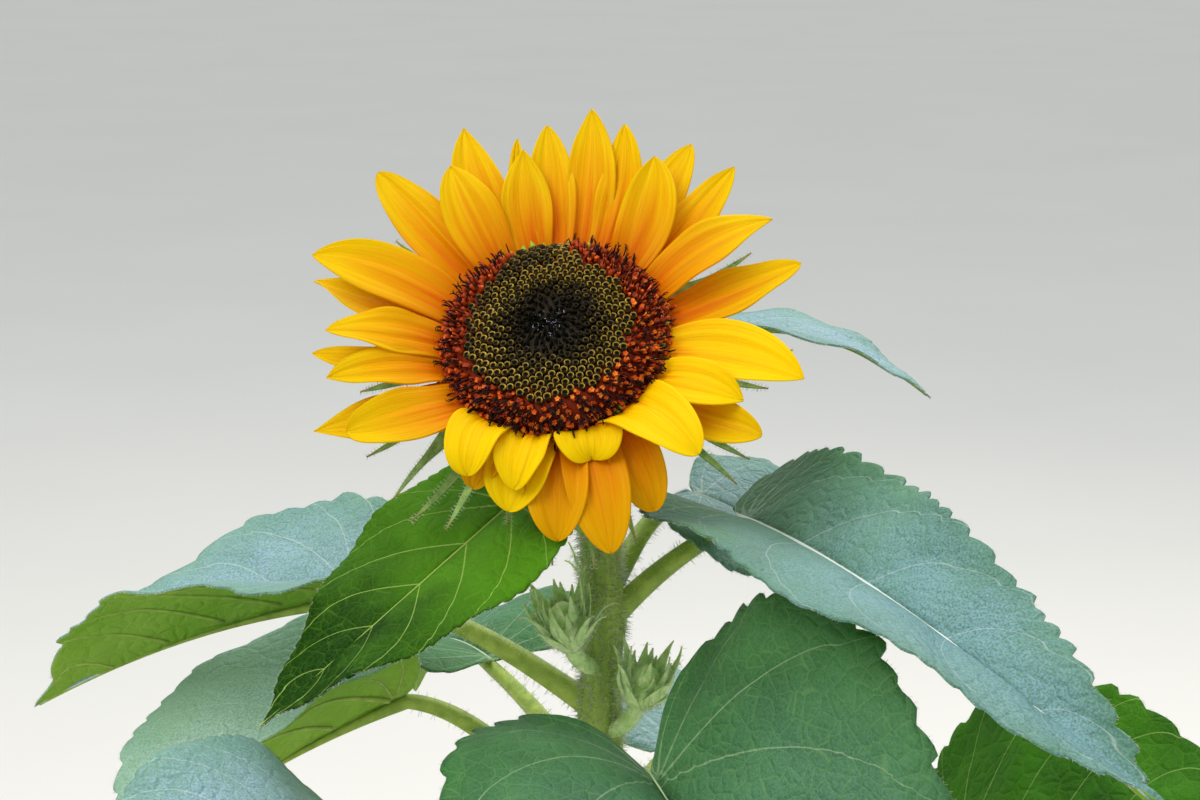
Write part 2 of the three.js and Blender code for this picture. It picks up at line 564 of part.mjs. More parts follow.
// Petiole from inside the stem to the blade, then on under the blade as its midrib
function petioleSolid(leaf, thickness, extra) {
  const start = stemCentre(leaf.root);
  const end = midribAt(leaf, 0);
  const flat = new Vector3(end.point.x - start.x, end.point.y - start.y, 0);
  const reach = flat.length();
  const lift = end.point.z - start.z;
  const climb = Math.max(lift, PETIOLE_LEAST_LIFT) * PETIOLE_LIFT_SHARE;
  const leave = start.clone().addScaledVector(flat, PETIOLE_REACH_SHARE).addScaledVector(UPWARD, climb);
  const straight = end.point.clone().sub(start).normalize().multiplyScalar(PETIOLE_STRAIGHTNESS);
  const arriving = end.along.clone().add(straight).normalize();
  const arrive = end.point.clone().addScaledVector(arriving, -reach * PETIOLE_REACH_SHARE);
  const under = thickness / 2 + PETIOLE_TIP_RADIUS * PETIOLE_BEDDING;
  const below = (u) => {
    const { point, along } = midribAt(leaf, u);
    const level = new Vector3().crossVectors(along, UPWARD).normalize();
    const raised = new Vector3().crossVectors(level, along);
    return point.addScaledVector(raised, -under * (1 - u));
  };
  const curve = new THREE.CubicBezierCurve3(start, leave, arrive, below(0));
  const centres = [];
  const radii = [];
  for (let ring = 0; ring <= PETIOLE_RINGS; ring += 1) {
    const share = ring / PETIOLE_RINGS;
    centres.push(curve.getPoint(share));
    radii.push(THREE.MathUtils.lerp(PETIOLE_ROOT_RADIUS, PETIOLE_TIP_RADIUS, share ** 0.6) + extra);
  }
  for (let ring = 1; ring <= MIDRIB_RINGS; ring += 1) {
    const share = ring / MIDRIB_RINGS;
    centres.push(below(share * MIDRIB_SHARE));
    radii.push(THREE.MathUtils.lerp(PETIOLE_TIP_RADIUS, MIDRIB_END_RADIUS, share) + extra);
  }
  return limb(centres, radii, PETIOLE_SIDES);
}

function leafSolid(leaf, extra) {
  const thickness = LEAF_THICKNESS_SHARE * midribAt(leaf, 0).length;
  return leafBlade(leaf, thickness + 2 * extra, extra).add(petioleSolid(leaf, thickness, extra));
}

// Bud: a short stalk from the stem, an egg of green scales and pointed bracts round it
function budSolid(bud, extra) {
  const out = new Vector3(Math.cos(rad(bud.heading)), Math.sin(rad(bud.heading)), 0);
  const start = stemCentre(bud.root);
  const base = start.clone().addScaledVector(out, bud.reach).addScaledVector(UPWARD, bud.rise * 0.6);
  const axis = new Vector3().addVectors(out.clone().multiplyScalar(BUD_LEAN), UPWARD).normalize();
  const bend = start.clone().addScaledVector(out, bud.reach * 0.6).addScaledVector(UPWARD, 3);
  const stalk = limb([start, bend, base], BUD_STALK_RADII.map((radius) => radius + extra), PETIOLE_SIDES);
  const egg = limb(
    BUD_EGG.map(([share]) => base.clone().addScaledVector(axis, bud.length * share - BUD_EGG_SINK)),
    BUD_EGG.map(([, width]) => bud.radius * width + extra),
    8,
  );
  const parts = [stalk, egg];
  const across = new Vector3().crossVectors(axis, out).normalize();
  const third = new Vector3().crossVectors(across, axis);
  for (let i = 0; i < BUD_BRACTS; i += 1) {
    const turn = (2 * Math.PI * i) / BUD_BRACTS + 0.4 * Math.sin(i * 2.1);
    const away = across.clone().multiplyScalar(Math.cos(turn)).addScaledVector(third, Math.sin(turn));
    const length = bud.length * (0.85 + 0.2 * Math.sin(i * 1.9 + bud.heading));
    const centres = [0, 0.5, 1].map((u) => base.clone()
      .addScaledVector(away, bud.radius * (0.35 + 0.85 * Math.sin(Math.PI * u * 0.62)))
      .addScaledVector(axis, length * u));
    parts.push(limb(centres, BUD_BRACT_RADII.map((radius) => radius + extra), 4));
  }
  return wasm.Manifold.union(parts);
}

// The plant's sub-parts in order of rank: where two would touch, the later one is cut back
const parts = [];
function addPart(name, look, build) {
  parts.push({ name, look, build });
}

const numbered = (stem, i) => `${stem}_${String(i + 1).padStart(2, '0')}`;
addPart('stem', STEM_GREEN, stemSolid);
addPart('head_disc', DISC_BROWN, discSolid);
for (const whorl of [0, 1]) {
  RAYS.forEach((ray, i) => {
    if (ray.whorl === whorl) addPart(numbered('ray_floret', i), RAY_YELLOW, (extra) => raySolid(ray, extra));
  });
}
addPart('head_receptacle', STEM_GREEN, receptacleSolid);
LEAVES.forEach((leaf, i) => addPart(numbered('leaf', i), LEAF_GREEN, (extra) => leafSolid(leaf, extra)));
BUDS.forEach((bud, i) => addPart(numbered('bud', i), BUD_GREEN, (extra) => budSolid(bud, extra)));

function boxesMeet(a, b) {
  return [0, 1, 2].every((i) => a.min[i] - CLEARANCE < b.max[i] && b.min[i] - CLEARANCE < a.max[i]);
}

// Cut each solid clear of those before it, and keep its largest piece
const plant = new THREE.Group();
const placed = [];
for (const part of parts) {
  let solid = part.build(0);
  for (const earlier of placed) {
    if (!boxesMeet(solid.boundingBox(), earlier.grown.boundingBox())) continue;
    solid = solid.subtract(earlier.grown);
  }
  const pieces = solid.decompose().sort((a, b) => b.volume() - a.volume());
  solid = pieces[0];
  placed.push({ grown: part.build(CLEARANCE) });
  const [colour, roughness] = part.look;
  const material = new THREE.MeshStandardMaterial({ color: colour, roughness, metalness: 0 });
  const mesh = new THREE.Mesh(geometryOf(solid), material);
  mesh.name = part.name;
  plant.add(mesh);
}

export default plant;
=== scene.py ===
# %% [markdown]
# # A sunflower plant
# One sunflower, rooted in the ground: a ribbed stem, a single open head on a bent neck, flower buds
# in the leaf axils and large heart-shaped leaves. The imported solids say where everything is, and
# each of them is replaced here by a finer mesh that follows the same rule. All points below are in
# millimetres, with +Z up, and become metres only when a mesh is made.

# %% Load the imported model
import bpy
import numpy as np
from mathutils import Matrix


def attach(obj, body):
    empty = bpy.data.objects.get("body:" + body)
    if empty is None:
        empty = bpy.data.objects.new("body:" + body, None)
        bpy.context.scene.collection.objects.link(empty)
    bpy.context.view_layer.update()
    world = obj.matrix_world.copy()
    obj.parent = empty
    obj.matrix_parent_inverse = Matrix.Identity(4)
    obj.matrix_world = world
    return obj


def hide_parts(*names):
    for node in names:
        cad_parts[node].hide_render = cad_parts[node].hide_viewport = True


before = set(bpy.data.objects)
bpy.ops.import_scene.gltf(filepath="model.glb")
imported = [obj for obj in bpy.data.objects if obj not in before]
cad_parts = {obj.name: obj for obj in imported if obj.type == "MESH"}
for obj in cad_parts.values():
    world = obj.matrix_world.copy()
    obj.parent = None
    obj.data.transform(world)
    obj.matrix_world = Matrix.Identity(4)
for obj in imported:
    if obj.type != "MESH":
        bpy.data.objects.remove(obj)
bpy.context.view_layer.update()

MM = 0.001

# %% [markdown]
# ## Camera
# The photograph looks down on the head by about 12 degrees from 0.8 m away, which is a portrait
# lens's distance. The picture's centre lies just under the head.

# %% Camera
CAMERA_TILT = 12
camera = bpy.data.objects.new("camera", bpy.data.cameras.new("camera"))
camera.data.lens = 85
camera.data.sensor_width = 36
camera.location = (0, -0.8085, 0.6449)
camera.rotation_euler = (np.radians(90 - CAMERA_TILT), 0, 0)
bpy.context.scene.collection.objects.link(camera)
bpy.context.scene.camera = camera
print("camera looks down by", CAMERA_TILT, "degrees")

# %% [markdown]
# ## Making a piece from arrays
# Every piece here is a surface worked out with numpy. A face is a row of four vertex numbers, and a
# triangle leaves its last place at -1, so that one array holds both. Values that the materials
# read, such as a leaf's own flat coordinates, go into UV maps. Faces that would smear the shading
# of their neighbours, such as the thin rims of petals and leaves, are shaded flat.

# %% Arrays to a piece
def unit(vectors):
    """Each vector divided by its length."""
    return vectors / np.maximum(np.linalg.norm(vectors, axis=-1, keepdims=True), 1e-9)


def add_piece(name, points, faces, materials, slot, looks=None, maps=None, crisp=None, stands_for=()):
    """A mesh object from points in mm and faces. `looks` is each face's material number, `maps` are
    UV maps by point, and `crisp` marks the faces that keep their own flat shading."""
    corners = faces[faces >= 0]
    sizes = (faces >= 0).sum(axis=1)
    used, numbers = np.unique(corners, return_inverse=True)
    mesh = bpy.data.meshes.new(name)
    mesh.vertices.add(len(used))
    mesh.vertices.foreach_set("co", (points[used] * MM).astype(np.float32).ravel())
    mesh.loops.add(len(corners))
    mesh.loops.foreach_set("vertex_index", numbers.astype(np.int32).ravel())
    mesh.polygons.add(len(faces))
    starts = np.concatenate([[0], np.cumsum(sizes)[:-1]])
    mesh.polygons.foreach_set("loop_start", starts.astype(np.int32))
    if looks is not None:
        mesh.polygons.foreach_set("material_index", np.asarray(looks, np.int32))
    for map_name, values in (maps or {}).items():
        layer = mesh.uv_layers.new(name=map_name)
        layer.uv.foreach_set("vector", values[corners].astype(np.float32).ravel())
    mesh.update(calc_edges=True)
    mesh.shade_smooth()
    if crisp is not None:
        mesh.polygons.foreach_set("use_smooth", ~np.asarray(crisp, bool))
    for material in materials:
        mesh.materials.append(material)
    piece = bpy.data.objects.new(name, mesh)
    bpy.context.scene.collection.objects.link(piece)
    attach(piece, "root")
    if stands_for:
        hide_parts(*stands_for)
    print(f"{name}: {(sizes - 2).sum()} triangles")


# %% Faces of grids and rings
def grid_faces(rows, columns, around=False):
    """Quads of a grid of points that is stored row by row. `around` joins its last column to its
    first, as on a tube."""
    last = columns if around else columns - 1
    row, column = np.meshgrid(np.arange(rows - 1), np.arange(last), indexing="ij")
    here = row * columns + column
    beside = row * columns + (column + 1) % columns
    return np.stack([here, beside, beside + columns, here + columns], axis=-1).reshape(-1, 4)


def ring_faces(rings, sides):
    """Faces of a closed round body: quads between its rings, and a fan of triangles from its first
    and from its last ring to the two points that are stored after the rings."""
    start = np.arange(sides)
    end = start + (rings - 1) * sides
    tip, none = np.full(sides, rings * sides), np.full(sides, -1)
    foot = np.stack([np.roll(start, -1), start, tip, none], axis=-1)
    top = np.stack([end, np.roll(end, -1), tip + 1, none], axis=-1)
    return np.concatenate([grid_faces(rings, sides, around=True), foot, top])


print("a body of 3 rings with 8 sides has", len(ring_faces(3, 8)), "faces")

# %% [markdown]
# ## Thin blades and tubes
# Petals, bracts and leaves are thin closed blades: one sheet of points pushed half a thickness to
# either side along its normals, with a rim of quads round the edge. Stems, petioles and veins are
# a round profile carried along a path, closed at both ends. A Solidify modifier would do for the
# blades too, but arrays also tell which faces are the underside, which has another colour.

# %% Blades and tubes
def sheet_normals(grid):
    """Unit normals of a sheet of points: across its columns crossed with along its rows."""
    return unit(np.cross(np.gradient(grid, axis=1), np.gradient(grid, axis=0)))


def blade(grid, thickness):
    """Points and faces of a closed blade from a sheet of points (rows, columns, 3), and each
    face's side: 0 for the upper one, 1 for the underside and 2 for the rim."""
    rows, columns = grid.shape[:2]
    push = sheet_normals(grid) * np.asarray(thickness)[..., None] / 2
    points = np.concatenate([(grid + push).reshape(-1, 3), (grid - push).reshape(-1, 3)])
    count = rows * columns
    top = grid_faces(rows, columns)
    under = top[:, ::-1] + count
    number = np.arange(count).reshape(rows, columns)
    ring = np.concatenate([number[0, :-1], number[:-1, -1], number[-1, :0:-1], number[:0:-1, 0]])
    after = np.roll(ring, -1)
    rim = np.stack([ring, ring + count, after + count, after], axis=-1)
    sides = np.concatenate([np.zeros(len(top)), np.ones(len(under)), np.full(len(rim), 2)])
    return points, np.concatenate([top, under, rim]), sides


def tube(path, radii, sides, reference):
    """Points and faces of a closed tube. Each ring stands square to the path: its first direction is
    `reference` with its part along the path taken away. `radii` is one radius a ring, or one for
    each ring and side."""
    rings = len(path)
    along = unit(np.gradient(path, axis=0))
    across = unit(reference - (along @ reference)[:, None] * along)
    other = np.cross(along, across)
    turn = np.linspace(0, 2 * np.pi, sides, endpoint=False)
    spokes = across[:, None] * np.cos(turn)[:, None] + other[:, None] * np.sin(turn)[:, None]
    radii = np.broadcast_to(np.reshape(radii, (rings, -1)), (rings, sides))
    points = (path[:, None] + spokes * radii[..., None]).reshape(-1, 3)
    points = np.concatenate([points, path[:1], path[-1:]])
    return points, ring_faces(rings, sides)


# %% Many shapes in one mesh
def join(shapes):
    """Several (points, faces) as one pair, with the faces renumbered."""
    starts = np.cumsum([0] + [len(points) for points, _ in shapes[:-1]])
    faces = [np.where(faces < 0, -1, faces + start) for (_, faces), start in zip(shapes, starts)]
    return np.concatenate([points for points, _ in shapes]), np.concatenate(faces)


def scatter(shape, places, frames, sizes):
    """Copies of a small shape as one mesh: each of its points times a size, turned into a frame of
    three unit vectors and moved to a place."""
    points, faces = shape
    turned = np.einsum("kj,nji->nki", points, frames) * np.reshape(sizes, (-1, 1, 1)) + places[:, None]
    starts = np.arange(len(places))[:, None, None] * len(points)
    return turned.reshape(-1, 3), np.where(faces < 0, -1, faces + starts).reshape(-1, faces.shape[1])


def turned_shape(profile, sides, pinch=None):
    """A small closed shape turned about its own Z: rings of (radius, height) between two points on
    the axis. `pinch` scales each ring's radius from side to side, as for petal lobes."""
    profile = np.array(profile, float)
    turn = np.linspace(0, 2 * np.pi, sides, endpoint=False)
    radii = profile[1:-1, :1] * (1 if pinch is None else pinch)
    rings = np.stack([radii * np.cos(turn), radii * np.sin(turn),
                      np.broadcast_to(profile[1:-1, 1:], (len(profile) - 2, sides))], axis=-1)
    points = np.concatenate([rings.reshape(-1, 3), [[0, 0, profile[0, 1]], [0, 0, profile[-1, 1]]]])
    return points, ring_faces(len(profile) - 2, sides)


def frames_along(axes, rng):
    """A frame for each axis: the axis last, and two directions square to it at a random turn."""
    helper = unit(rng.normal(size=axes.shape))
    first = unit(np.cross(helper, axes))
    return np.stack([first, np.cross(axes, first), axes], axis=1)


def spots_on(points, faces, count, rng, keep=None):
    """Random places on a mesh, evenly by area, with the normal at each. `keep` weighs the faces."""
    quads = np.where(faces < 0, faces[:, 2:3], faces)
    corner = points[quads]
    normal = np.cross(corner[:, 2] - corner[:, 0], corner[:, 3] - corner[:, 1])
    weight = np.linalg.norm(normal, axis=1) * (1 if keep is None else keep)
    chosen = rng.choice(len(faces), count, p=weight / weight.sum())
    a, b = rng.random((2, count, 1))
    near = corner[chosen, 0] * (1 - a) + corner[chosen, 1] * a
    far = corner[chosen, 3] * (1 - a) + corner[chosen, 2] * a
    return near * (1 - b) + far * b, unit(normal[chosen])


# %% [markdown]
# ## The tools for materials
# A colour is written as the hex value that the eye sees on a screen, and one function turns it to
# the linear value that light is reckoned in. One more adds a node with its settings and links.

# %% Colours and nodes
def rgb(colour):
    """sRGB hex to linear red, green, blue and an alpha of 1: below 0.04045 a straight line, above
    it a power of 2.4."""
    parts = np.array([int(colour[i:i + 2], 16) for i in (0, 2, 4)]) / 255
    linear = np.where(parts <= 0.04045, parts / 12.92, ((parts + 0.055) / 1.055) ** 2.4)
    return (*linear.tolist(), 1.0)


def add_node(tree, kind, inputs=None, stops=None, **settings):
    """Adds a node. `inputs` gives sockets by name or number a value, or another node or socket to
    link. `stops` are a colour ramp's places and colours, and `settings` the node's own options."""
    node = tree.nodes.new(kind)
    for name, value in settings.items():
        setattr(node, name, value)
    for place, (position, colour) in enumerate(stops or []):
        elements = node.color_ramp.elements
        element = elements[place] if place < 2 else elements.new(position)
        element.position = position
        element.color = rgb(colour)
    for name, value in (inputs or {}).items():
        if isinstance(value, bpy.types.Node):
            value = value.outputs[0]
        if isinstance(value, bpy.types.NodeSocket):
            tree.links.new(value, node.inputs[name])
        else:
            node.inputs[name].default_value = value
    return node


def new_material(name):
    """An empty node material: (material, its node tree, its output node)."""
    material = bpy.data.materials.new(name)
    material.use_nodes = True
    material.node_tree.nodes.clear()
    return material, material.node_tree, add_node(material.node_tree, "ShaderNodeOutputMaterial")


print("a grey that looks half as bright gives", round(rgb("808080")[0], 2), "of the light")

# %% [markdown]
# ## Green skin: stem, petioles, cup and bracts
# The green skin of a sunflower is a waxy cuticle over living tissue. It is semi-matt, of a refractive
# index near 1.45, paler on its ribs and mottled over a few millimetres. Fine short hairs too small
# to model give it a soft sheen, and the bristles that do show are real geometry further down.

# %% Green skin
def green_skin(name, pale, deep, mottle_mm, streak=1.0, tip=None):
    """Cuticle: a mottle of two greens, stretched along Z by `streak`, with a fine grain. Where it has
    a `tip` colour, it turns to that at the end of the piece's own length map."""
    material, tree, output = new_material(name)
    place = add_node(tree, "ShaderNodeTexCoord").outputs["Object"]
    scaled = add_node(tree, "ShaderNodeMapping", {"Vector": place, "Scale": (1, 1, 1 / streak)})
    mottle = add_node(tree, "ShaderNodeTexNoise", {
        "Vector": scaled, "Scale": 1 / (mottle_mm * MM), "Detail": 5.0})
    colour = add_node(tree, "ShaderNodeValToRGB", {"Fac": mottle}, stops=[(0.3, deep), (0.68, pale)])
    if tip:
        length_map = add_node(tree, "ShaderNodeUVMap", uv_map="share")
        share = add_node(tree, "ShaderNodeSeparateXYZ", {0: length_map})
        dry = add_node(tree, "ShaderNodeMapRange", {"Value": share, "From Min": 0.86, "From Max": 1.0})
        mixed = add_node(tree, "ShaderNodeMix", {0: dry, 6: colour, 7: rgb(tip)}, data_type="RGBA")
        colour = mixed.outputs[2]
    grain = add_node(tree, "ShaderNodeTexNoise", {
        "Vector": place, "Scale": 1 / (0.7 * MM), "Detail": 2.0})
    bump = add_node(tree, "ShaderNodeBump", {"Height": grain, "Strength": 0.35, "Distance": 0.3 * MM})
    skin = add_node(tree, "ShaderNodeBsdfPrincipled", {
        "Base Color": colour, "Normal": bump, "Roughness": 0.5, "IOR": 1.45, "Specular IOR Level": 0.35,
        "Sheen Weight": 0.15, "Sheen Roughness": 0.4, "Sheen Tint": rgb("dfeeda")})
    tree.links.new(skin.outputs[0], output.inputs["Surface"])
    return material


stem_skin = green_skin("stem_cuticle", "abc254", "7e9c3c", 5, streak=7)
petiole_skin = green_skin("petiole_cuticle", "b2c658", "88a340", 4)
cup_skin = green_skin("cup_cuticle", "5f8a3c", "3c6428", 3)
bract_skin = green_skin("bract_cuticle", "a2c66e", "6a9646", 2.5, tip="a08a48")
bud_skin = green_skin("bud_cuticle", "dcf0b0", "a2cc6c", 3, tip="dcdc98")
print("green skins:", stem_skin.name, petiole_skin.name, cup_skin.name, bract_skin.name, bud_skin.name)

# %% [markdown]
# ## Ray petals
# A ray floret's strap is thin, satin and full of a yellow pigment, with air and starch behind it
# that let light through. So the colour shifts from orange at the root to golden yellow at the tip,
# fine parallel veins run along it, and part of the light that falls on the back shines through.

# %% Petal tissue
def petal_tissue(name, root, middle, tip, orange_until):
    """Petal: a ramp from root to tip that reaches its middle colour at the share `orange_until` and
    runs ahead at the margins. It is broken up by streaks along its length and thin darker veins,
    over a satin shader mixed with a translucent one. It reads the petal's own map: share of the
    length, and place across it plus three for each petal."""
    material, tree, output = new_material(name)
    flat = add_node(tree, "ShaderNodeUVMap", uv_map="petal")
    place = add_node(tree, "ShaderNodeSeparateXYZ", {0: flat})
    across = add_node(tree, "ShaderNodeMath", {0: place.outputs["Y"], 1: 1.5, 2: -1.5},
                      operation="WRAP")
    off_middle = add_node(tree, "ShaderNodeMath", {0: across}, operation="ABSOLUTE")
    drawn_out = add_node(tree, "ShaderNodeMapping", {"Vector": flat, "Scale": (1.3, 4.5, 1)})
    streaks = add_node(tree, "ShaderNodeTexNoise", {"Vector": drawn_out, "Scale": 1.0, "Detail": 4.0})
    spread = add_node(tree, "ShaderNodeMapRange", {
        "Value": streaks, "From Min": 0.25, "From Max": 0.75, "To Min": -0.3, "To Max": 0.14})
    ahead = add_node(tree, "ShaderNodeMath", {0: off_middle, 1: 0.22, 2: place.outputs["X"]},
                     operation="MULTIPLY_ADD")
    shifted = add_node(tree, "ShaderNodeMath", {0: ahead, 1: spread}, operation="ADD", use_clamp=True)
    ramp = add_node(tree, "ShaderNodeValToRGB", {"Fac": shifted},
                    stops=[(0.0, root), (0.85, tip), (orange_until, middle)])
    # Veins: where a stretched noise passes its middle value it draws thin lines along the petal
    vein_scale = add_node(tree, "ShaderNodeMapping", {"Vector": flat, "Scale": (0.5, 6.5, 1)})
    veins = add_node(tree, "ShaderNodeTexNoise", {"Vector": vein_scale, "Scale": 1.0, "Detail": 2.0})
    centred = add_node(tree, "ShaderNodeMath", {0: veins, 1: 0.5}, operation="SUBTRACT")
    apart = add_node(tree, "ShaderNodeMath", {0: centred}, operation="ABSOLUTE")
    shade = add_node(tree, "ShaderNodeMapRange", {
        "Value": apart, "From Min": 0.0, "From Max": 0.03, "To Min": 0.89, "To Max": 1.0})
    tint = add_node(tree, "ShaderNodeCombineXYZ", {"X": 1.0, "Y": shade, "Z": shade})
    colour = add_node(tree, "ShaderNodeVectorMath", {0: ramp, 1: tint}, operation="MULTIPLY")
    bump = add_node(tree, "ShaderNodeBump", {"Height": shade, "Strength": 0.7, "Distance": 0.7 * MM})
    satin = add_node(tree, "ShaderNodeBsdfPrincipled", {
        "Base Color": colour, "Normal": bump, "Roughness": 0.5, "IOR": 1.42, "Specular IOR Level": 0.1})
    glow = add_node(tree, "ShaderNodeBsdfTranslucent", {"Color": colour, "Normal": bump})
    both = add_node(tree, "ShaderNodeMixShader", {0: 0.28, 1: satin, 2: glow})
    tree.links.new(both.outputs[0], output.inputs["Surface"])
    return material


# Golden is the petals' own colour. Amber is a copy darkened as painted shade, for the hanging back
# petals at the bottom, and lemon a copy brightened as painted light, for petals at the lower right and
# bottom that curl up into the light
golden_petal = petal_tissue("ray_petal_golden", "ea7200", "eea600", "f2cc00", 0.4)
shaded_amber_petal = petal_tissue("ray_petal_amber_painted_shade", "e46c00", "ee9a00", "f0b400", 0.4)
lit_lemon_petal = petal_tissue("ray_petal_lemon_painted_light", "f69c00", "fcce00", "fedc00", 0.22)
print("petals:", golden_petal.name, shaded_amber_petal.name, lit_lemon_petal.name)

# %% [markdown]
# ## Leaf blades
# A leaf's upper side is a dull green under a pale bluish layer: partly its very short stiff hairs and
# partly a painted reflection of a bluish sky, thinner on leaves with painted shade. Pale veins divide
# it: a midrib, five laterals a side that curve towards the tip, and a net of ever finer ones. Drawing
# them as curves would cost many faces, so the mesh carries a map in which each lateral is a whole
# number, and the material draws a line there. The underside is a lighter yellow green with the same
# veins.

# %% Leaf ground colour
def leaf_ground(tree, flat, midrib, pale, deep, bloom_and_sky_sheen, bloom_and_sky_colour, base_bloom_and_sky, tip_shade_painted):
    """Two greens in large soft patches. A number for painted shade evens them out and makes them paler
    at the base and deeper towards the tip. Over them lies a bluish layer, partly hairs and partly a
    painted sky reflection, thinner near the stalk and at the margin. Its share is a product of four
    shares, the last of them speckles about 0.7 mm apart."""
    place = add_node(tree, "ShaderNodeSeparateXYZ", {0: flat})
    patches = add_node(tree, "ShaderNodeTexNoise", {"Vector": flat, "Scale": 1 / 24, "Detail": 4.0})
    # Painted shade: the tip number evens out the patches and pulls the tone towards the deeper green
    # from the middle to the tip
    even = add_node(tree, "ShaderNodeMapRange", {
        "Value": patches, "To Min": 0.6 * tip_shade_painted, "To Max": 1 - 0.6 * tip_shade_painted})
    darker = add_node(tree, "ShaderNodeMapRange", {
        "Value": place.outputs["X"], "From Min": 20, "From Max": 100,
        "To Min": -0.35 * tip_shade_painted, "To Max": 0.95 * tip_shade_painted})
    tone = add_node(tree, "ShaderNodeMath", {0: even, 1: darker},
                    operation="SUBTRACT", use_clamp=True)
    lamina = add_node(tree, "ShaderNodeValToRGB", {"Fac": tone}, stops=[(0.32, deep), (0.68, pale)])
    cloud = add_node(tree, "ShaderNodeTexNoise", {"Vector": flat, "Scale": 1 / 14, "Detail": 3.0})
    speckle = add_node(tree, "ShaderNodeTexNoise", {"Vector": flat, "Scale": 1 / 0.7, "Detail": 2.0})
    # The share of the bluish layer: partly the hairs' pale colour and partly painted sky reflection,
    # thinner near the stalk and towards the margin
    bloom_and_sky_share = bloom_and_sky_sheen
    for value, low, high, least, most in [
            (place.outputs["X"], 10, 95, base_bloom_and_sky, 1.0), (midrib.outputs["Y"], 0.5, 1.0, 1.0, 0.5),
            (cloud, 0.35, 0.65, 0.85, 1.1), (speckle, 0.35, 0.66, 0.4, 1.5)]:
        share = add_node(tree, "ShaderNodeMapRange", {
            "Value": value, "From Min": low, "From Max": high, "To Min": least, "To Max": most})
        bloom_and_sky_share = add_node(tree, "ShaderNodeMath", {0: share, 1: bloom_and_sky_share},
                        operation="MULTIPLY", use_clamp=True)
    bloom_and_sky_mixed = add_node(tree, "ShaderNodeMix", {0: bloom_and_sky_share, 6: lamina, 7: rgb(bloom_and_sky_colour)},
                      data_type="RGBA")
    return bloom_and_sky_mixed.outputs[2]


# %% Leaf lines and relief
def leaf_lines(tree, flat, midrib, ground, vein, veins_show, net_colour, net):
    """The ground colour with its lines, and the height of the fields between them. The net of small
    veins is the edges of two Voronoi patterns, of 5 mm and 1.4 mm cells, bent by noise. A lateral
    lies where its map is a whole number, and its distance counts the half widths of its line."""
    bent = add_node(tree, "ShaderNodeTexNoise", {"Vector": flat, "Scale": 1 / 6, "Detail": 1.0})
    wander = add_node(tree, "ShaderNodeVectorMath", {0: bent.outputs["Color"], 1: (2.4, 2.4, 0)},
                      operation="MULTIPLY")
    wavy = add_node(tree, "ShaderNodeVectorMath", {0: flat, 1: wander}, operation="ADD")
    wide = add_node(tree, "ShaderNodeTexVoronoi", {"Vector": wavy, "Scale": 1 / 5},
                    feature="DISTANCE_TO_EDGE")
    small = add_node(tree, "ShaderNodeTexVoronoi", {"Vector": wavy, "Scale": 1 / 1.4},
                     feature="DISTANCE_TO_EDGE")
    lateral_map = add_node(tree, "ShaderNodeUVMap", uv_map="laterals")
    lateral = add_node(tree, "ShaderNodeSeparateXYZ", {0: lateral_map})
    fraction = add_node(tree, "ShaderNodeMath", {0: lateral.outputs["X"], 1: 0.5}, operation="PINGPONG")
    apart = add_node(tree, "ShaderNodeMath", {0: fraction, 1: lateral.outputs["Y"]},
                     operation="MULTIPLY")
    # Each line is full within its first distance and gone beyond its second. The net's lines are bare
    # of the bluish layer of hairs and painted sky reflection, and the veins proper lie over them in
    # their own paler colour
    colour = ground
    for kind, own in [([(wide, 0.0, 0.04, net), (small, 0.02, 0.13, 0.4 * net)], net_colour),
                      ([(apart, 0.5, 1.3, veins_show), (midrib, 0.7, 1.1, 1.0)], vein)]:
        lines = 0.0
        for distance, full, none, strength in kind:
            line = add_node(tree, "ShaderNodeMapRange", {
                "Value": distance, "From Min": full, "From Max": none,
                "To Min": strength, "To Max": 0.0}, interpolation_type="SMOOTHSTEP")
            lines = add_node(tree, "ShaderNodeMath", {0: line, 1: lines}, operation="MAXIMUM")
        drawn = add_node(tree, "ShaderNodeMix", {0: lines, 6: colour, 7: rgb(own)}, data_type="RGBA")
        colour = drawn.outputs[2]
    # Each field of the net is a low cushion, with smaller ones and the hairs' grain on it
    cushion = add_node(tree, "ShaderNodeMapRange", {"Value": wide, "From Min": 0.0, "From Max": 0.22})
    fields = add_node(tree, "ShaderNodeMath", {0: small, 1: 0.6, 2: cushion}, operation="MULTIPLY_ADD")
    grain = add_node(tree, "ShaderNodeTexNoise", {"Vector": flat, "Scale": 1 / 0.5, "Detail": 1.0})
    relief = add_node(tree, "ShaderNodeMath", {0: grain, 1: 0.5, 2: fields}, operation="MULTIPLY_ADD")
    return colour, relief


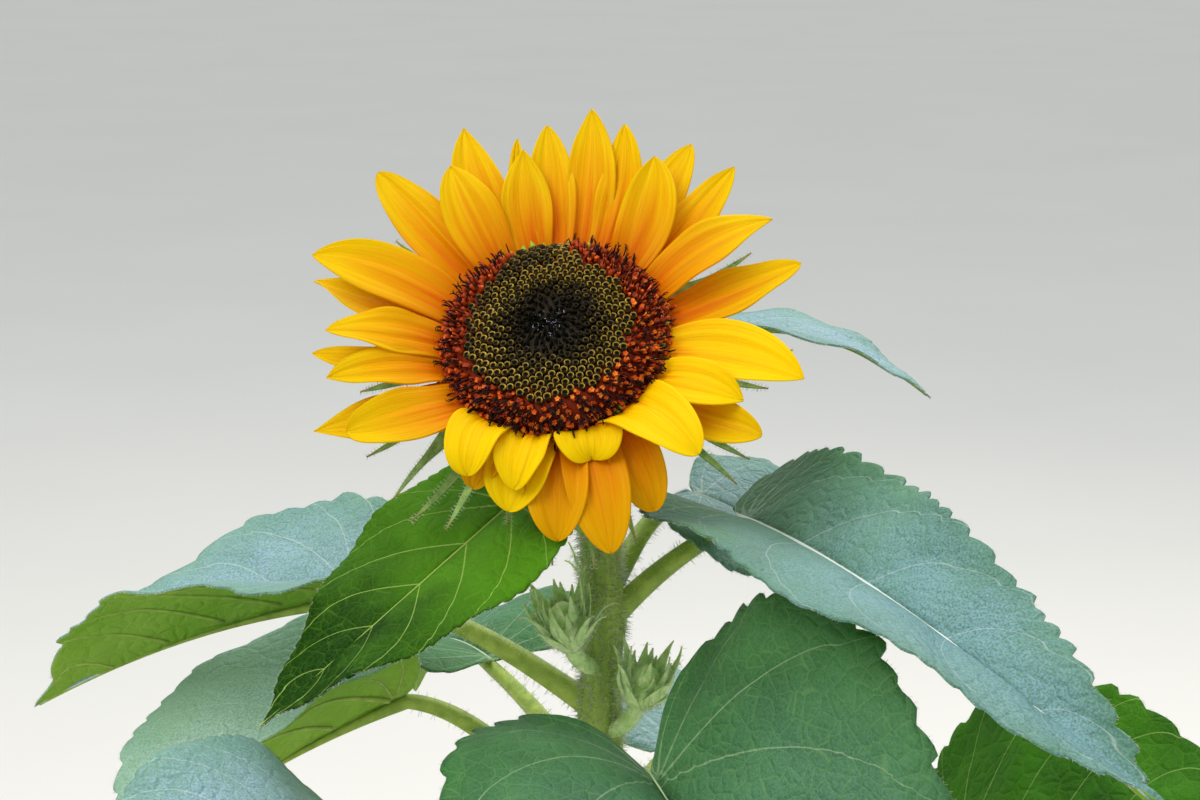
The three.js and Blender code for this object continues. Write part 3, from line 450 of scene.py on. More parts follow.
# %% Leaf tissue
def leaf_tissue(name, pale, deep, vein, veins_show, net_colour, net, bloom_and_sky_sheen, bloom_and_sky_colour,
                glow, glow_share, gloss=0.25, base_bloom_and_sky=0.8, tip_shade_painted=0.0):
    """Leaf: the ground colour and the lines on a matt skin, mixed with the colour `glow` of the
    light that shines through. The sheen of the fine hairs grows with the bluish layer of hairs and
    painted sky reflection."""
    material, tree, output = new_material(name)
    flat = add_node(tree, "ShaderNodeUVMap", uv_map="blade_mm")
    midrib_map = add_node(tree, "ShaderNodeUVMap", uv_map="midrib")
    midrib = add_node(tree, "ShaderNodeSeparateXYZ", {0: midrib_map})
    ground = leaf_ground(tree, flat, midrib, pale, deep, bloom_and_sky_sheen, bloom_and_sky_colour, base_bloom_and_sky, tip_shade_painted)
    colour, relief = leaf_lines(tree, flat, midrib, ground, vein, veins_show, net_colour, net)
    bump = add_node(tree, "ShaderNodeBump", {"Height": relief, "Strength": 0.8, "Distance": 0.5 * MM})
    matt = add_node(tree, "ShaderNodeBsdfPrincipled", {
        "Base Color": colour, "Normal": bump, "Roughness": 0.55, "IOR": 1.45,
        "Specular IOR Level": gloss, "Sheen Weight": 0.13 * bloom_and_sky_sheen, "Sheen Roughness": 0.4,
        "Sheen Tint": rgb("c4dcea")})
    through = add_node(tree, "ShaderNodeBsdfTranslucent", {"Color": rgb(glow), "Normal": bump})
    both = add_node(tree, "ShaderNodeMixShader", {0: glow_share, 1: matt, 2: through})
    tree.links.new(both.outputs[0], output.inputs["Surface"])
    return material


# %% Leaf sides
# The upper sides differ by how light falls on each leaf: the bluish ones carry a painted sky
# reflection, the palest one painted light, and the deeper greens painted shade, deepest under the head
top_sky_painted = leaf_tissue("leaf_top_painted_sky_light", "6a9c70", "477f58", "d2e2d6", 0.4, "84ac78", 0.25,
                           0.88, "9ab8cc", "6f9a3a", 0.08)
top_light_painted = leaf_tissue("leaf_top_painted_bright_light", "86b48c", "6ea880", "d2e2d6", 0.3, "98bc90", 0.2,
                          0.85, "b4d2cc", "6f9a3a", 0.08)
top_half_shade_painted = leaf_tissue("leaf_top_painted_half_shade", "4f8048", "37683a", "e2ece4", 0.25, "74987c", 0.22,
                        0.85, "7ea5ae", "6f9a3a", 0.08, base_bloom_and_sky=0.1)
top_shade_painted = leaf_tissue("leaf_top_painted_shade", "407a38", "265a1e", "bcd6a6", 0.36, "86ae68", 0.26,
                         0.54, "6f9a9c", "6f9a3a", 0.1, base_bloom_and_sky=0.2)
top_deep_shade_painted = leaf_tissue("leaf_top_painted_deep_shade", "508a12", "0e3400", "a2c25e", 0.72, "6a9a30", 0.26,
                       0.0, "6f9a96", "7ab020", 0.07, gloss=0.08, tip_shade_painted=0.44)
top_dark_shade_painted = leaf_tissue("leaf_top_painted_dark_shade", "458410", "225406", "aac86c", 0.6, "78a83a", 0.26,
                        0.05, "6f9a96", "7ab020", 0.12, gloss=0.1)
leaf_underside = leaf_tissue("leaf_underside", "c0e264", "a8d44c", "dcea98", 0.6, "cce488", 0.25,
                             0.02, "9cc4a0", "bce82c", 0.5, gloss=0.12)
print("leaf sides:", [m.name for m in bpy.data.materials if m.name.startswith("leaf")])

# %% [markdown]
# ## Small dry and hairy things
# Bristles are stiff hollow hairs that look white against the dark. The disc's florets are waxy and
# packed so closely that each needs only one plain colour: olive while closed, rust red once open,
# and nearly black for their stamens and the scales between them.

# %% Plain colours for the small things
def plain_tissue(name, colour, roughness, gloss=0.3):
    """One colour with a soft gloss, for things of a millimetre."""
    material, tree, output = new_material(name)
    skin = add_node(tree, "ShaderNodeBsdfPrincipled", {
        "Base Color": rgb(colour), "Roughness": roughness, "IOR": 1.45, "Specular IOR Level": gloss})
    tree.links.new(skin.outputs[0], output.inputs["Surface"])
    return material


bristle_white, tree, output = new_material("bristle_horn")
horn = add_node(tree, "ShaderNodeBsdfPrincipled", {
    "Base Color": rgb("eef2e4"), "Roughness": 0.4, "IOR": 1.5, "Specular IOR Level": 0.4})
lit_through = add_node(tree, "ShaderNodeBsdfTranslucent", {"Color": rgb("eef2e4")})
hollow = add_node(tree, "ShaderNodeMixShader", {0: 0.5, 1: horn, 2: lit_through})
tree.links.new(hollow.outputs[0], output.inputs["Surface"])
# Painted light and shade for the closed florets: the pale rim colour is light on the upper side of
# their lips, and the dim one shade on the lower side, besides the darker tone of the younger ones
floret_lip_lit = plain_tissue("floret_lip_painted_light", "ceae48", 0.4)
floret_olive = plain_tissue("floret_lip_olive", "947818", 0.4)
floret_dim_and_shaded = plain_tissue("floret_body_dim_and_painted_shade", "5e4c0e", 0.45, 0.2)
floret_pit = plain_tissue("floret_pit", "0c0803", 0.6, 0.1)
floret_flank = plain_tissue("floret_flank", "241c08", 0.5, 0.15)
floret_under = plain_tissue("floret_foot_red", "74240a", 0.6, 0.1)
corolla_rust = plain_tissue("corolla_rust", "f06c10", 0.4)
corolla_red = plain_tissue("corolla_red", "a83a08", 0.4)
corolla_orange = plain_tissue("corolla_orange", "f49028", 0.4)
stamen_brown = plain_tissue("stamen_dark", "260a06", 0.35, 0.2)
scale_black = plain_tissue("scale_black", "080907", 0.5, 0.1)
# Painted highlight: a pale bluish colour for glints of light on the disc's dark middle
painted_glint = plain_tissue("scale_glint_painted", "a9adc4", 0.5)
scale_lime = plain_tissue("scale_lime", "8fae24", 0.5)
print("plain colours:", len([m for m in bpy.data.materials if len(m.node_tree.nodes) == 2]))

# %% [markdown]
# ## Stem
# A sunflower's stem is pithy inside and ribbed outside, thicker at the foot, and swollen a little
# where each petiole leaves it. It goes straight up with a slight sway and bends over at the neck.
# One tube follows that line, and its radius is worked out for every ring and side.

# %% Stem line
STEM_FOOT_RADIUS, STEM_LOW_RADIUS, STEM_NECK_RADIUS = 11.5, 8.2, 5.6
ROOT_FLARE_HEIGHT, NECK_START_HEIGHT, NECK_REACH = 26, 440, 20
STEM_SWAY, SWAY_HALF_TURNS = -0.5, 1.85
HEAD_CENTRE = np.array([-12.6, -29.1, 496.2])
HEAD_LIFT, HEAD_TURN = np.radians(45), np.radians(9.5)
HEAD_LEVEL = np.array([-np.sin(HEAD_TURN), -np.cos(HEAD_TURN), 0])
HEAD_AXIS = HEAD_LEVEL * np.cos(HEAD_LIFT) + np.array([0, 0, np.sin(HEAD_LIFT)])
HEAD_RIGHT = unit(np.array([1.0, 0, 0]) - HEAD_AXIS[0] * HEAD_AXIS)
HEAD_TOP = np.cross(HEAD_AXIS, HEAD_RIGHT)
RECEPTACLE_DEPTH = 24
UP = np.array([0.0, 0, 1])


def stem_centre(height):
    """Centre line of the stem below the neck: a slow sideways wave."""
    height = np.asarray(height, float)
    sway = STEM_SWAY * np.sin(height / NECK_START_HEIGHT * np.pi * SWAY_HALF_TURNS)
    return np.stack([sway, np.zeros_like(height), height], axis=-1)


def stem_radius(height):
    """A straight taper from the foot to the neck, plus a flare that dies out as a square."""
    taper = (STEM_NECK_RADIUS - STEM_LOW_RADIUS) * np.minimum(height / NECK_START_HEIGHT, 1)
    flare = (STEM_FOOT_RADIUS - STEM_LOW_RADIUS) * np.maximum(1 - height / ROOT_FLARE_HEIGHT, 0) ** 2
    return STEM_LOW_RADIUS + taper + flare


def bezier(ends, share):
    """Cubic curve through four control points at each share of its way."""
    share = np.asarray(share, float)[:, None]
    a, b, c, d = ends
    rest = 1 - share
    return a * rest ** 3 + 3 * b * share * rest ** 2 + 3 * c * share ** 2 * rest + d * share ** 3


HEAD_BACK = HEAD_CENTRE - HEAD_AXIS * (RECEPTACLE_DEPTH + 0.3)
neck_foot = stem_centre(NECK_START_HEIGHT)
NECK = [neck_foot, neck_foot + UP * NECK_REACH, HEAD_BACK - HEAD_AXIS * NECK_REACH * 0.8, HEAD_BACK]
print("neck ends at", np.round(HEAD_BACK, 1))

# %% [markdown]
# The leaves' table comes before the stem's mesh, because the stem swells where they leave it. Each
# leaf has the height of its root, the place where petiole and blade meet, the tip, how its midrib
# arches up and bends sideways, the blade's roll in degrees at its base and what is added by the
# tip, and then, for the right and left half, the width, the fold up and the droop. Three numbers
# give the outline, and two the spacing and depth of its teeth.

# %% Leaves' table
LEAF_PARTS = ("root", "junction", "tip", "arch", "bend", "roll", "width", "fold", "droop",
              "outline", "teeth")
LEAF_TABLE = [dict(zip(LEAF_PARTS, row)) for row in [
    (404, (41, 3, 437), (143, -158, 398), 0.085, 0.07, (-2, -3),
     (41, 31), (23, 40), (12, 2), (0.24, 0.45, 0.075), (8.5, 2.4)),
    (352, (14, -69, 382), (67, -160, 300), 0.16, 0.08, (-4, 21),
     (71, 72), (46, 55), (72, 4), (0.22, 0.5, 0.1), (10, 3.4)),
    (432, (-22.3, -31, 451.8), (-93, -73, 397), 0.015, -0.025, (0, -5),
     (37, 34), (11, 11), (2, 32), (0.28, 0.45, 0.075), (4.2, 0.9)),
    (377, (-69.5, 10, 412), (-171, 10, 376), 0.03, 0.06, (7, -34),
     (40, 57), (46, 39), (18, 36), (0.28, 0.5, 0.075), (11, 3)),
    (334, (-58, -3, 384), (-140, -44, 341), 0.02, 0.04, (1, 0),
     (58, 43), (36, 50), (40, 25), (0.26, 0.5, 0.06), (8, 1.8)),
    (318, (-65, -70, 354), (-132, -137, 365), 0.18, -0.025, (10, 2),
     (40, 43), (24, 14), (6, 24), (0.26, 0.5, 0.075), (5, 1.1)),
    (412, (29, 37, 436), (80, 24, 398), 0.09, 0.01, (-2, -7),
     (37, 36), (9, 16), (23, 15), (0.26, 0.5, 0.075), (6, 1.3)),
    (446, (25, 37, 487), (99, 22, 469), 0.12, 0.015, (6, -2),
     (28, 27), (8, 7), (9, 3), (0.28, 0.4, 0.075), (4.5, 0.8)),
    (300, (108, 14, 325), (192, -46, 352), 0.12, 0.05, (-16, 0),
     (45, 47), (22, 38), (20, -12), (0.24, 0.5, 0.09), (10, 3)),
    (350, (-35, 70, 372), (-66, 162, 332), 0.12, -0.04, (4, 6),
     (42, 42), (22, 22), (20, 26), (0.25, 0.5, 0.085), (7, 1.6)),
    (322, (21, 58, 346), (70, 150, 306), 0.13, 0.05, (-6, 4),
     (48, 46), (20, 24), (26, 20), (0.24, 0.5, 0.09), (7, 1.6)),
    (262, (-76, 42, 292), (-182, 92, 248), 0.15, 0.04, (-4, 8),
     (54, 56), (22, 20), (24, 30), (0.24, 0.5, 0.09), (9, 2)),
    (236, (48, -72, 262), (102, -176, 206), 0.15, -0.05, (5, -6),
     (57, 55), (20, 22), (28, 24), (0.24, 0.5, 0.09), (9, 2.2)),
    (196, (66, 64, 222), (150, 146, 168), 0.16, 0.04, (-5, 5),
     (60, 58), (20, 18), (28, 30), (0.24, 0.5, 0.1), (9, 2.2)),
    (158, (-78, -52, 182), (-176, -116, 120), 0.17, -0.04, (6, -4),
     (60, 62), (18, 20), (32, 28), (0.24, 0.5, 0.1), (10, 2.4)),
    (112, (-28, 92, 136), (-62, 204, 72), 0.17, 0.05, (-4, 6),
     (60, 60), (18, 18), (30, 32), (0.24, 0.5, 0.1), (10, 2.4)),
]]
print("leaves:", len(LEAF_TABLE))

# %% Stem mesh
STEM_SIDES = 48
straight = np.linspace(0, 1, 130) ** 1.1 * NECK_START_HEIGHT
neck_share = np.linspace(0, 1, 40)[1:]
inside_cup = HEAD_BACK + HEAD_AXIS * np.linspace(1, 6, 4)[:, None]
stem_path = np.concatenate([stem_centre(straight), bezier(NECK, neck_share), inside_cup])
neck_radii = STEM_NECK_RADIUS + 0.9 * neck_share ** 3
stem_radii = np.concatenate([stem_radius(straight), neck_radii, [6.5, 6.4, 6.2, 6]])
neck_height = NECK_START_HEIGHT + 60 * neck_share
ring_height = np.concatenate([straight, neck_height, [505, 507, 509, 511]])[:, None]
side_turn = np.linspace(0, 2 * np.pi, STEM_SIDES, endpoint=False)[None]

# Ribs: eleven soft ones that drift round the stem, and finer ones between them
ribs = 0.24 * np.cos(11 * side_turn + 0.004 * ring_height)
ribs = ribs + 0.1 * np.cos(23 * side_turn - 0.01 * ring_height)
ribs = ribs + 0.12 * np.sin(0.11 * ring_height + 2 * np.sin(side_turn))
swelling = np.zeros_like(ribs)
for leaf in LEAF_TABLE:
    heading = np.arctan2(leaf["junction"][1], leaf["junction"][0])
    around = np.angle(np.exp(1j * (side_turn - heading)))
    swelling += 1.5 * np.exp(-((ring_height - leaf["root"] - 2) / 7) ** 2 - (around / 0.75) ** 2)
stem_shape = tube(stem_path, stem_radii[:, None] + ribs + swelling, STEM_SIDES, np.array([1.0, 0, 0]))
stem_shape[0][:, 2] = np.maximum(stem_shape[0][:, 2], 0)
add_piece("stem_ribbed", *stem_shape, [stem_skin], "stem", stands_for=["stem"])

# %% [markdown]
# ## Leaf surface
# A leaf is a bent sheet. Its midrib is an arched line, and each half leaves it at a fold angle and
# droops towards the margin along a circular arc. The two halves are grids: a column runs from the
# midrib to the margin and a row along the leaf. The columns crowd where the lobes turn back, so
# that both the tip and the lobes are well drawn.

# %% Leaf rule
COLUMNS_A_TOOTH, LEAF_ROWS, SPINE_CROWDING, LEAF_THICKNESS = 8, 20, 2.4, 0.55
LATERAL_START, LATERAL_STEP = 0.035, 0.18
VEIN_LEAN, VEIN_CURVE, LOBE_VEIN_TURN = 0.7, 0.16, np.radians(27)


def leaf_outline(widest, fullness, lobe, share):
    """Half outline from the tip to the notch: a Catmull-Rom curve, with tangents half the
    difference of the neighbours, through eleven points worked out from three numbers. Gives the
    share of the length and the share of the half width."""
    ahead = 1 - widest
    shoulder = 0.35 + 0.5 * fullness
    knots = np.array([
        (1, 0), (widest + 0.9 * ahead, 0.16 * shoulder + 0.02),
        (widest + 0.72 * ahead, 0.3 + 0.3 * fullness),
        (widest + 0.48 * ahead, 0.58 + 0.34 * fullness),
        (widest + 0.22 * ahead, 0.88 + 0.1 * fullness),
        (widest, 1), (widest * 0.35, 0.93), (-0.4 * lobe, 0.74), (-lobe, 0.48),
        (-0.8 * lobe, 0.24), (-0.4 * lobe, 0.05),
    ])
    padded = np.concatenate([2 * knots[:1] - knots[1:2], knots, 2 * knots[-1:] - knots[-2:-1]])
    place = share * (len(knots) - 1)
    piece = np.minimum(place.astype(int), len(knots) - 2)
    t = (place - piece)[:, None]
    before, start, end, after = (padded[piece + i] for i in range(4))
    leave, arrive = (end - before) / 2, (after - start) / 2
    cubic = (2 * start - 2 * end + leave + arrive) * t ** 3
    return cubic + (3 * end - 3 * start - 2 * leave - arrive) * t ** 2 + leave * t + start


example = leaf_outline(0.24, 0.5, 0.09, np.linspace(0, 1, 11))
print("a leaf's outline, from tip to notch:", example.round(2).tolist())

# %% Leaf midrib and halves
def midrib_at(leaf, u):
    """Points of the midrib and the way it runs: a straight chord plus a parabola up and sideways."""
    start, tip = np.array(leaf["junction"], float), np.array(leaf["tip"], float)
    chord = tip - start
    length = np.linalg.norm(chord)
    side = unit(np.cross(chord, UP))
    up = unit(np.cross(side, chord))
    bow = side * leaf["bend"] + up * leaf["arch"]
    u = np.asarray(u, float)[..., None]
    point = start + chord * u + bow * 4 * u * (1 - u) * length
    return point, unit(chord + bow * 4 * (1 - 2 * u) * length), length


def leaf_points(leaf, x, y, way):
    """Points of a half blade: x is the share of the length, y the share of the half width, way +1
    for the right half and -1 for the left."""
    point, along, _ = midrib_at(leaf, x)
    level = unit(np.cross(along, UP))
    raised = np.cross(level, along)
    roll = np.radians(leaf["roll"][0] + leaf["roll"][1] * np.clip(x, 0, 1))[..., None]
    side = level * np.cos(roll) + raised * np.sin(roll)
    normal = raised * np.cos(roll) - level * np.sin(roll)
    half = 0 if way > 0 else 1
    fold = np.radians(leaf["fold"][half])
    curl = -np.radians(leaf["droop"][half])
    turned = (fold + curl * y)[..., None]
    out = leaf["width"][half] * (np.sin(turned) - np.sin(fold)) / curl
    rise = leaf["width"][half] * (np.cos(fold) - np.cos(turned)) / curl
    return point + side * way * out + normal * rise


print("blade lengths, mm:", [round(midrib_at(leaf, 0.0)[2]) for leaf in LEAF_TABLE])

# %% [markdown]
# The margin has about a dozen teeth a side that point to the tip. Between the laterals the blade
# bulges up a little and along them it sinks, and its margin waves. All of this moves the points of
# the same sheet, so no edge has to be joined on.

# %% Leaf teeth
def toothed_edge(leaf, length, width, share, rng):
    """Half margin in flat mm, and how far along it each point lies. A tooth rises as a sine over
    0.3 of its own length, on the tip's side, and falls as a square over the rest."""
    spacing, depth = leaf["teeth"]
    edge = leaf_outline(*leaf["outline"], share) * [length, width]
    run = unit(-np.gradient(edge, axis=0))
    out = np.stack([-run[:, 1], run[:, 0]], axis=-1)
    out = out * np.sign(out[:, 1:].sum())
    walked = np.concatenate([[0], np.cumsum(np.linalg.norm(np.diff(edge, axis=0), axis=1))])
    teeth = walked / spacing + 0.3 * np.sin(walked * 0.11 + rng.random() * 6)
    phase = teeth % 1
    falling = 1 - np.maximum((phase - 0.3) / 0.7, 0) ** 2
    profile = np.where(phase < 0.3, np.sin(phase / 0.3 * np.pi / 2), falling)
    fade = np.clip(walked / 12, 0, 1) * np.clip((0.86 - share) / 0.12, 0, 1)
    uneven = 0.55 + 0.75 * rng.random(int(teeth.max()) + 2)[teeth.astype(int)]
    bite = depth * fade * (profile * uneven - 0.35)
    return edge + out * (bite * 0.9)[:, None] + run * (bite * 0.3)[:, None], walked


# %% Leaf vein map
def vein_map(flat, s, edge, length):
    """Number of the lateral at each flat place, the mm between two laterals, where the vein through
    the place meets the midrib, and the distance from the first lateral's foot. In shares of the
    length, a vein meets the midrib at the way along, less the lean times the way aside, less the
    curve times the fourth power of the share s of the way to the margin. Its number counts the
    steps from the first lateral. Behind that one it falls with the angle round the first lateral's
    foot, so that the lobes' veins fan out."""
    along, aside = flat[..., 0], flat[..., 1]
    foot = along / length - VEIN_LEAN * aside / length - VEIN_CURVE * s ** 4
    number = (foot - LATERAL_START) / LATERAL_STEP
    slope = VEIN_LEAN + 4 * VEIN_CURVE * length * s ** 3 / np.maximum(edge[:, 1:], 6)
    spacing = LATERAL_STEP * length / np.sqrt(1 + slope ** 2)
    past = along - LATERAL_START * length
    bend = VEIN_LEAN * aside + VEIN_CURVE * length * s ** 4
    turned = np.arctan2(aside, past) - np.arctan2(aside, bend)
    radius = np.hypot(past, aside)
    spacing = np.where(number < 0, radius * LOBE_VEIN_TURN, spacing)
    number = np.where(number < 0, -np.maximum(turned, 0) / LOBE_VEIN_TURN, number)
    return number, spacing, foot, radius


# %% Half a leaf
def leaf_half(leaf, way, rng):
    """A half blade as a grid (columns, rows): its points, its flat place in mm and its two vein
    maps. The laterals' map holds their number and the half widths of a line between two of them,
    the midrib's the half widths from it and the share of the way to the margin."""
    length = midrib_at(leaf, np.zeros(1))[2]
    width = leaf["width"][0 if way > 0 else 1]
    columns = int(np.clip(1.25 * length / leaf["teeth"][0] * COLUMNS_A_TOOTH, 90, 210))
    share = np.linspace(0, 1, columns)
    s = np.linspace(0, 1, LEAF_ROWS)[None] ** 0.9
    edge, walked = toothed_edge(leaf, length, width, share, rng)
    spine = np.stack([(1 - share) ** SPINE_CROWDING * length, np.zeros(columns)], axis=-1)
    flat = spine[:, None] + (edge - spine)[:, None] * s[..., None]
    x = flat[..., 0] / length
    points = leaf_points(leaf, x, flat[..., 1] / width, way)
    # Relief: sunk along the laterals, bulged between them, waved at the margin
    number, spacing, foot, radius = vein_map(flat, s, edge, length)
    apart = np.abs((number + 0.5) % 1 - 0.5) * spacing
    grip = np.clip(s / 0.12, 0, 1) * np.clip(foot * 14, 0, 1)
    quilt = (0.45 + 0.0025 * length) * (1 - np.exp(-(apart / 4) ** 2)) * grip * (1 - 0.5 * s ** 3)
    wave = 0.011 * length * s ** 2 * np.sin(walked[:, None] / (0.055 * length) + rng.random() * 6)
    wave = wave * np.clip(walked / 15, 0, 1)[:, None]
    points = points + (sheet_normals(points) * -way) * (quilt + wave)[..., None]
    # Line widths: the laterals thin out to the margin and the midrib to the tip
    lateral_half = (0.13 + 0.17 * (1 - s)) * (1 - 0.12 * np.clip(number, 0, 5))
    lateral_half = lateral_half + 0.004 * length * np.exp(-radius / (0.07 * length))
    midrib_half = 0.16 + 0.0054 * length * (1 - np.clip(x, 0, 1)) ** 1.3
    laterals = np.stack([number, spacing / lateral_half], axis=-1)
    midrib = np.stack([flat[..., 1] / midrib_half, s + 0 * x], axis=-1)
    return points, flat * [1, way], laterals, midrib


# %% Whole blade
def leaf_blade(leaf, number):
    """Both halves of a blade, closed, as points, faces, sides and maps, with the halves' grids and
    vein numbers for what grows on them."""
    shapes, maps, sides, grids = [], [], [], []
    for way in (1, -1):
        rng = np.random.default_rng(100 + number)
        points, *looks = leaf_half(leaf, way, rng)
        solid = blade(points[:, ::-way], np.full(points.shape[:2], LEAF_THICKNESS))
        shapes.append(solid[:2])
        sides.append(solid[2])
        maps.append(np.tile(np.concatenate(looks, axis=-1)[:, ::-way].reshape(-1, 6), (2, 1)))
        grids.append((points, looks[1][..., 0]))
    points, faces = join(shapes)
    return points, faces, np.concatenate(sides), np.concatenate(maps), grids


print("a leaf's half has", LEAF_ROWS, "rows and", COLUMNS_A_TOOTH, "columns for each tooth")

# %% [markdown]
# ## Veins, petiole and midrib
# The petiole is a solid ribbed stalk, grooved above, that goes on under the blade as its midrib and
# thins out to the tip. The laterals stand out as thin tubes as well, more on the underside. Each
# follows the line where the vein map holds a whole number, found by looking where it changes sign
# between two columns.

# %% Petioles
PETIOLE_ROOT_RADIUS, PETIOLE_TIP_RADIUS, MIDRIB_END_RADIUS = 4.2, 2.3, 0.28
PETIOLE_RINGS, MIDRIB_RINGS, PETIOLE_SIDES = 25, 44, 16


def petiole_path(leaf):
    """Centre line, radii and a level direction: a cubic curve from the stem's centre to the blade,
    then the midrib's underside."""
    start = stem_centre(leaf["root"])
    end, end_along, _ = midrib_at(leaf, 0.0)
    level = np.array([end[0] - start[0], end[1] - start[1], 0])
    reach = np.linalg.norm(level)
    leave = start + 0.35 * level + UP * max(end[2] - start[2], 6) * 0.5
    arrive = end - unit(end_along + 1.2 * unit(end - start)) * reach * 0.35
    on_stalk = np.linspace(0, 1, PETIOLE_RINGS + 1)[:-1]
    way = np.concatenate([on_stalk, np.linspace(0, 0.985, MIDRIB_RINGS)])
    on_petiole = np.arange(len(way)) < PETIOLE_RINGS
    point, along, _ = midrib_at(leaf, way)
    raised = np.cross(unit(np.cross(along, UP)), along)
    petiole_radius = PETIOLE_ROOT_RADIUS + (PETIOLE_TIP_RADIUS - PETIOLE_ROOT_RADIUS) * way ** 0.6
    midrib_radius = MIDRIB_END_RADIUS + (PETIOLE_TIP_RADIUS - MIDRIB_END_RADIUS) * (1 - way) ** 2.6
    radius = np.where(on_petiole, petiole_radius, midrib_radius)
    midrib = point - raised * (radius - 0.1)[:, None]
    curve = bezier([start, leave, arrive, midrib[PETIOLE_RINGS]], np.where(on_petiole, way, 0))
    path = np.where(on_petiole[:, None], curve, midrib)
    return path, radius, unit(np.cross(unit(level), UP))


stalks = [np.diff(petiole_path(leaf)[0][:PETIOLE_RINGS + 1], axis=0) for leaf in LEAF_TABLE]
print("petiole lengths, mm:", [round(np.linalg.norm(steps, axis=1).sum()) for steps in stalks])

# %% Raised veins
VEIN_SIDES = 6


def midrib_ridge(leaf):
    """The pale line that the midrib shows on the upper side: a thin tube in the valley between the
    halves. Its maps stay at zero, where the leaf's material draws the vein's colour."""
    way = np.linspace(0.0, 0.97, 40)
    point, along, length = midrib_at(leaf, way)
    raised = np.cross(unit(np.cross(along, UP)), along)
    radius = 0.14 + 0.0034 * length * (1 - way) ** 1.3
    return tube(point + raised * 0.22, radius, VEIN_SIDES, unit(np.cross(along[0], UP)))


def vein_lines(grids):
    """Centre lines of the laterals: for each half and whole number, where the map passes it in each
    row, joined from the midrib out. Gives a list of (points, radii, direction)."""
    lines = []
    for (points, numbers), way in zip(grids, (1, -1)):
        normals = sheet_normals(points) * -way
        for whole in (-2, -1, 0, 1, 2, 3, 4):
            above = numbers > whole
            before = above.sum(axis=0) - 1
            rows = np.arange(LEAF_ROWS)
            crossed = (before >= 0) & (before < len(points) - 1)
            rows = rows[crossed & (rows < LEAF_ROWS - 1) & (rows > (1 if whole < 0 else 0))]
            if len(rows) < 6:
                continue
            here = before[rows]
            low, high = numbers[here, rows], numbers[here + 1, rows]
            mix = ((low - whole) / np.maximum(low - high, 1e-6))[:, None]
            line = points[here, rows] * (1 - mix) + points[here + 1, rows] * mix
            down = normals[here, rows]
            share = (1 if whole >= 0 else 0.7) * (1 - 0.09 * abs(whole))
            thick = np.interp(rows / LEAF_ROWS, [0, 1], [0.85, 0.28]) * share
            lines.append((line - down * (thick - 0.1)[:, None], thick, down.mean(axis=0)))
    return lines


# %% [markdown]
# ## The leaves
# The first nine follow the photograph and the others fill the back and the foot. Those in full
# light are bluish with a painted sky reflection, and those under the head and low down have a
# deeper green of painted shade, so the leaves share six kinds of upper side.

# %% Make the leaves
TOPS = [top_half_shade_painted, top_shade_painted, top_deep_shade_painted, top_sky_painted, top_light_painted, top_sky_painted, top_sky_painted,
        top_sky_painted, top_dark_shade_painted, top_shade_painted, top_sky_painted, top_shade_painted, top_shade_painted, top_sky_painted,
        top_shade_painted, top_shade_painted]
leaf_margins, petiole_shapes = [], []
for number, (leaf, top) in enumerate(zip(LEAF_TABLE, TOPS)):
    points, faces, sides, maps, grids = leaf_blade(leaf, number)
    path, radius, reference = petiole_path(leaf)
    groove = 1 + 0.06 * np.cos(5 * np.linspace(0, 2 * np.pi, PETIOLE_SIDES, endpoint=False))
    stalk = tube(path, radius[:, None] * groove, PETIOLE_SIDES, reference)
    bare = PETIOLE_RINGS + 1
    bare_faces = grid_faces(bare, PETIOLE_SIDES, around=True)
    petiole_shapes.append((stalk[0][:bare * PETIOLE_SIDES], bare_faces))
    veins = join([tube(line, thick, VEIN_SIDES, unit(np.cross(line[-1] - line[0], down)))
                  for line, thick, down in vein_lines(grids)])
    ridge = midrib_ridge(leaf)
    points, faces = join([(points, faces), ridge, stalk, veins])
    others = np.concatenate([np.zeros(len(ridge[1])), np.full(len(stalk[1]) + len(veins[1]), 2)])
    looks, rims = np.concatenate([sides % 2, others]), np.concatenate([sides == 2, others < 0])
    maps = np.concatenate([maps, np.zeros((len(points) - len(maps), 6))])
    maps = {"blade_mm": maps[:, :2], "laterals": maps[:, 2:4], "midrib": maps[:, 4:]}
    name = f"leaf_{number + 1:02d}"
    add_piece(name + "_blade_and_petiole", points, faces, [top, leaf_underside, petiole_skin], "leaf",
              looks=looks, maps=maps, crisp=rims, stands_for=[name])
    for grid, _ in grids:
        leaf_margins.append((grid[:, -1], unit(grid[:, -1] - grid[:, -3])))

# %% [markdown]
# ## Ray petals
# Thirty-two straps leave the rim of the disc in two rings. Each is a sheet that follows its own
# curved centre line: it starts with one rise above the disc's plane and ends with another, and may
# sweep sideways. The width swells from a narrow root to a belly and closes in a rounded tip. Two
# deep pleats and finer ribs run along it, its margin waves, and a small notch marks the tip.

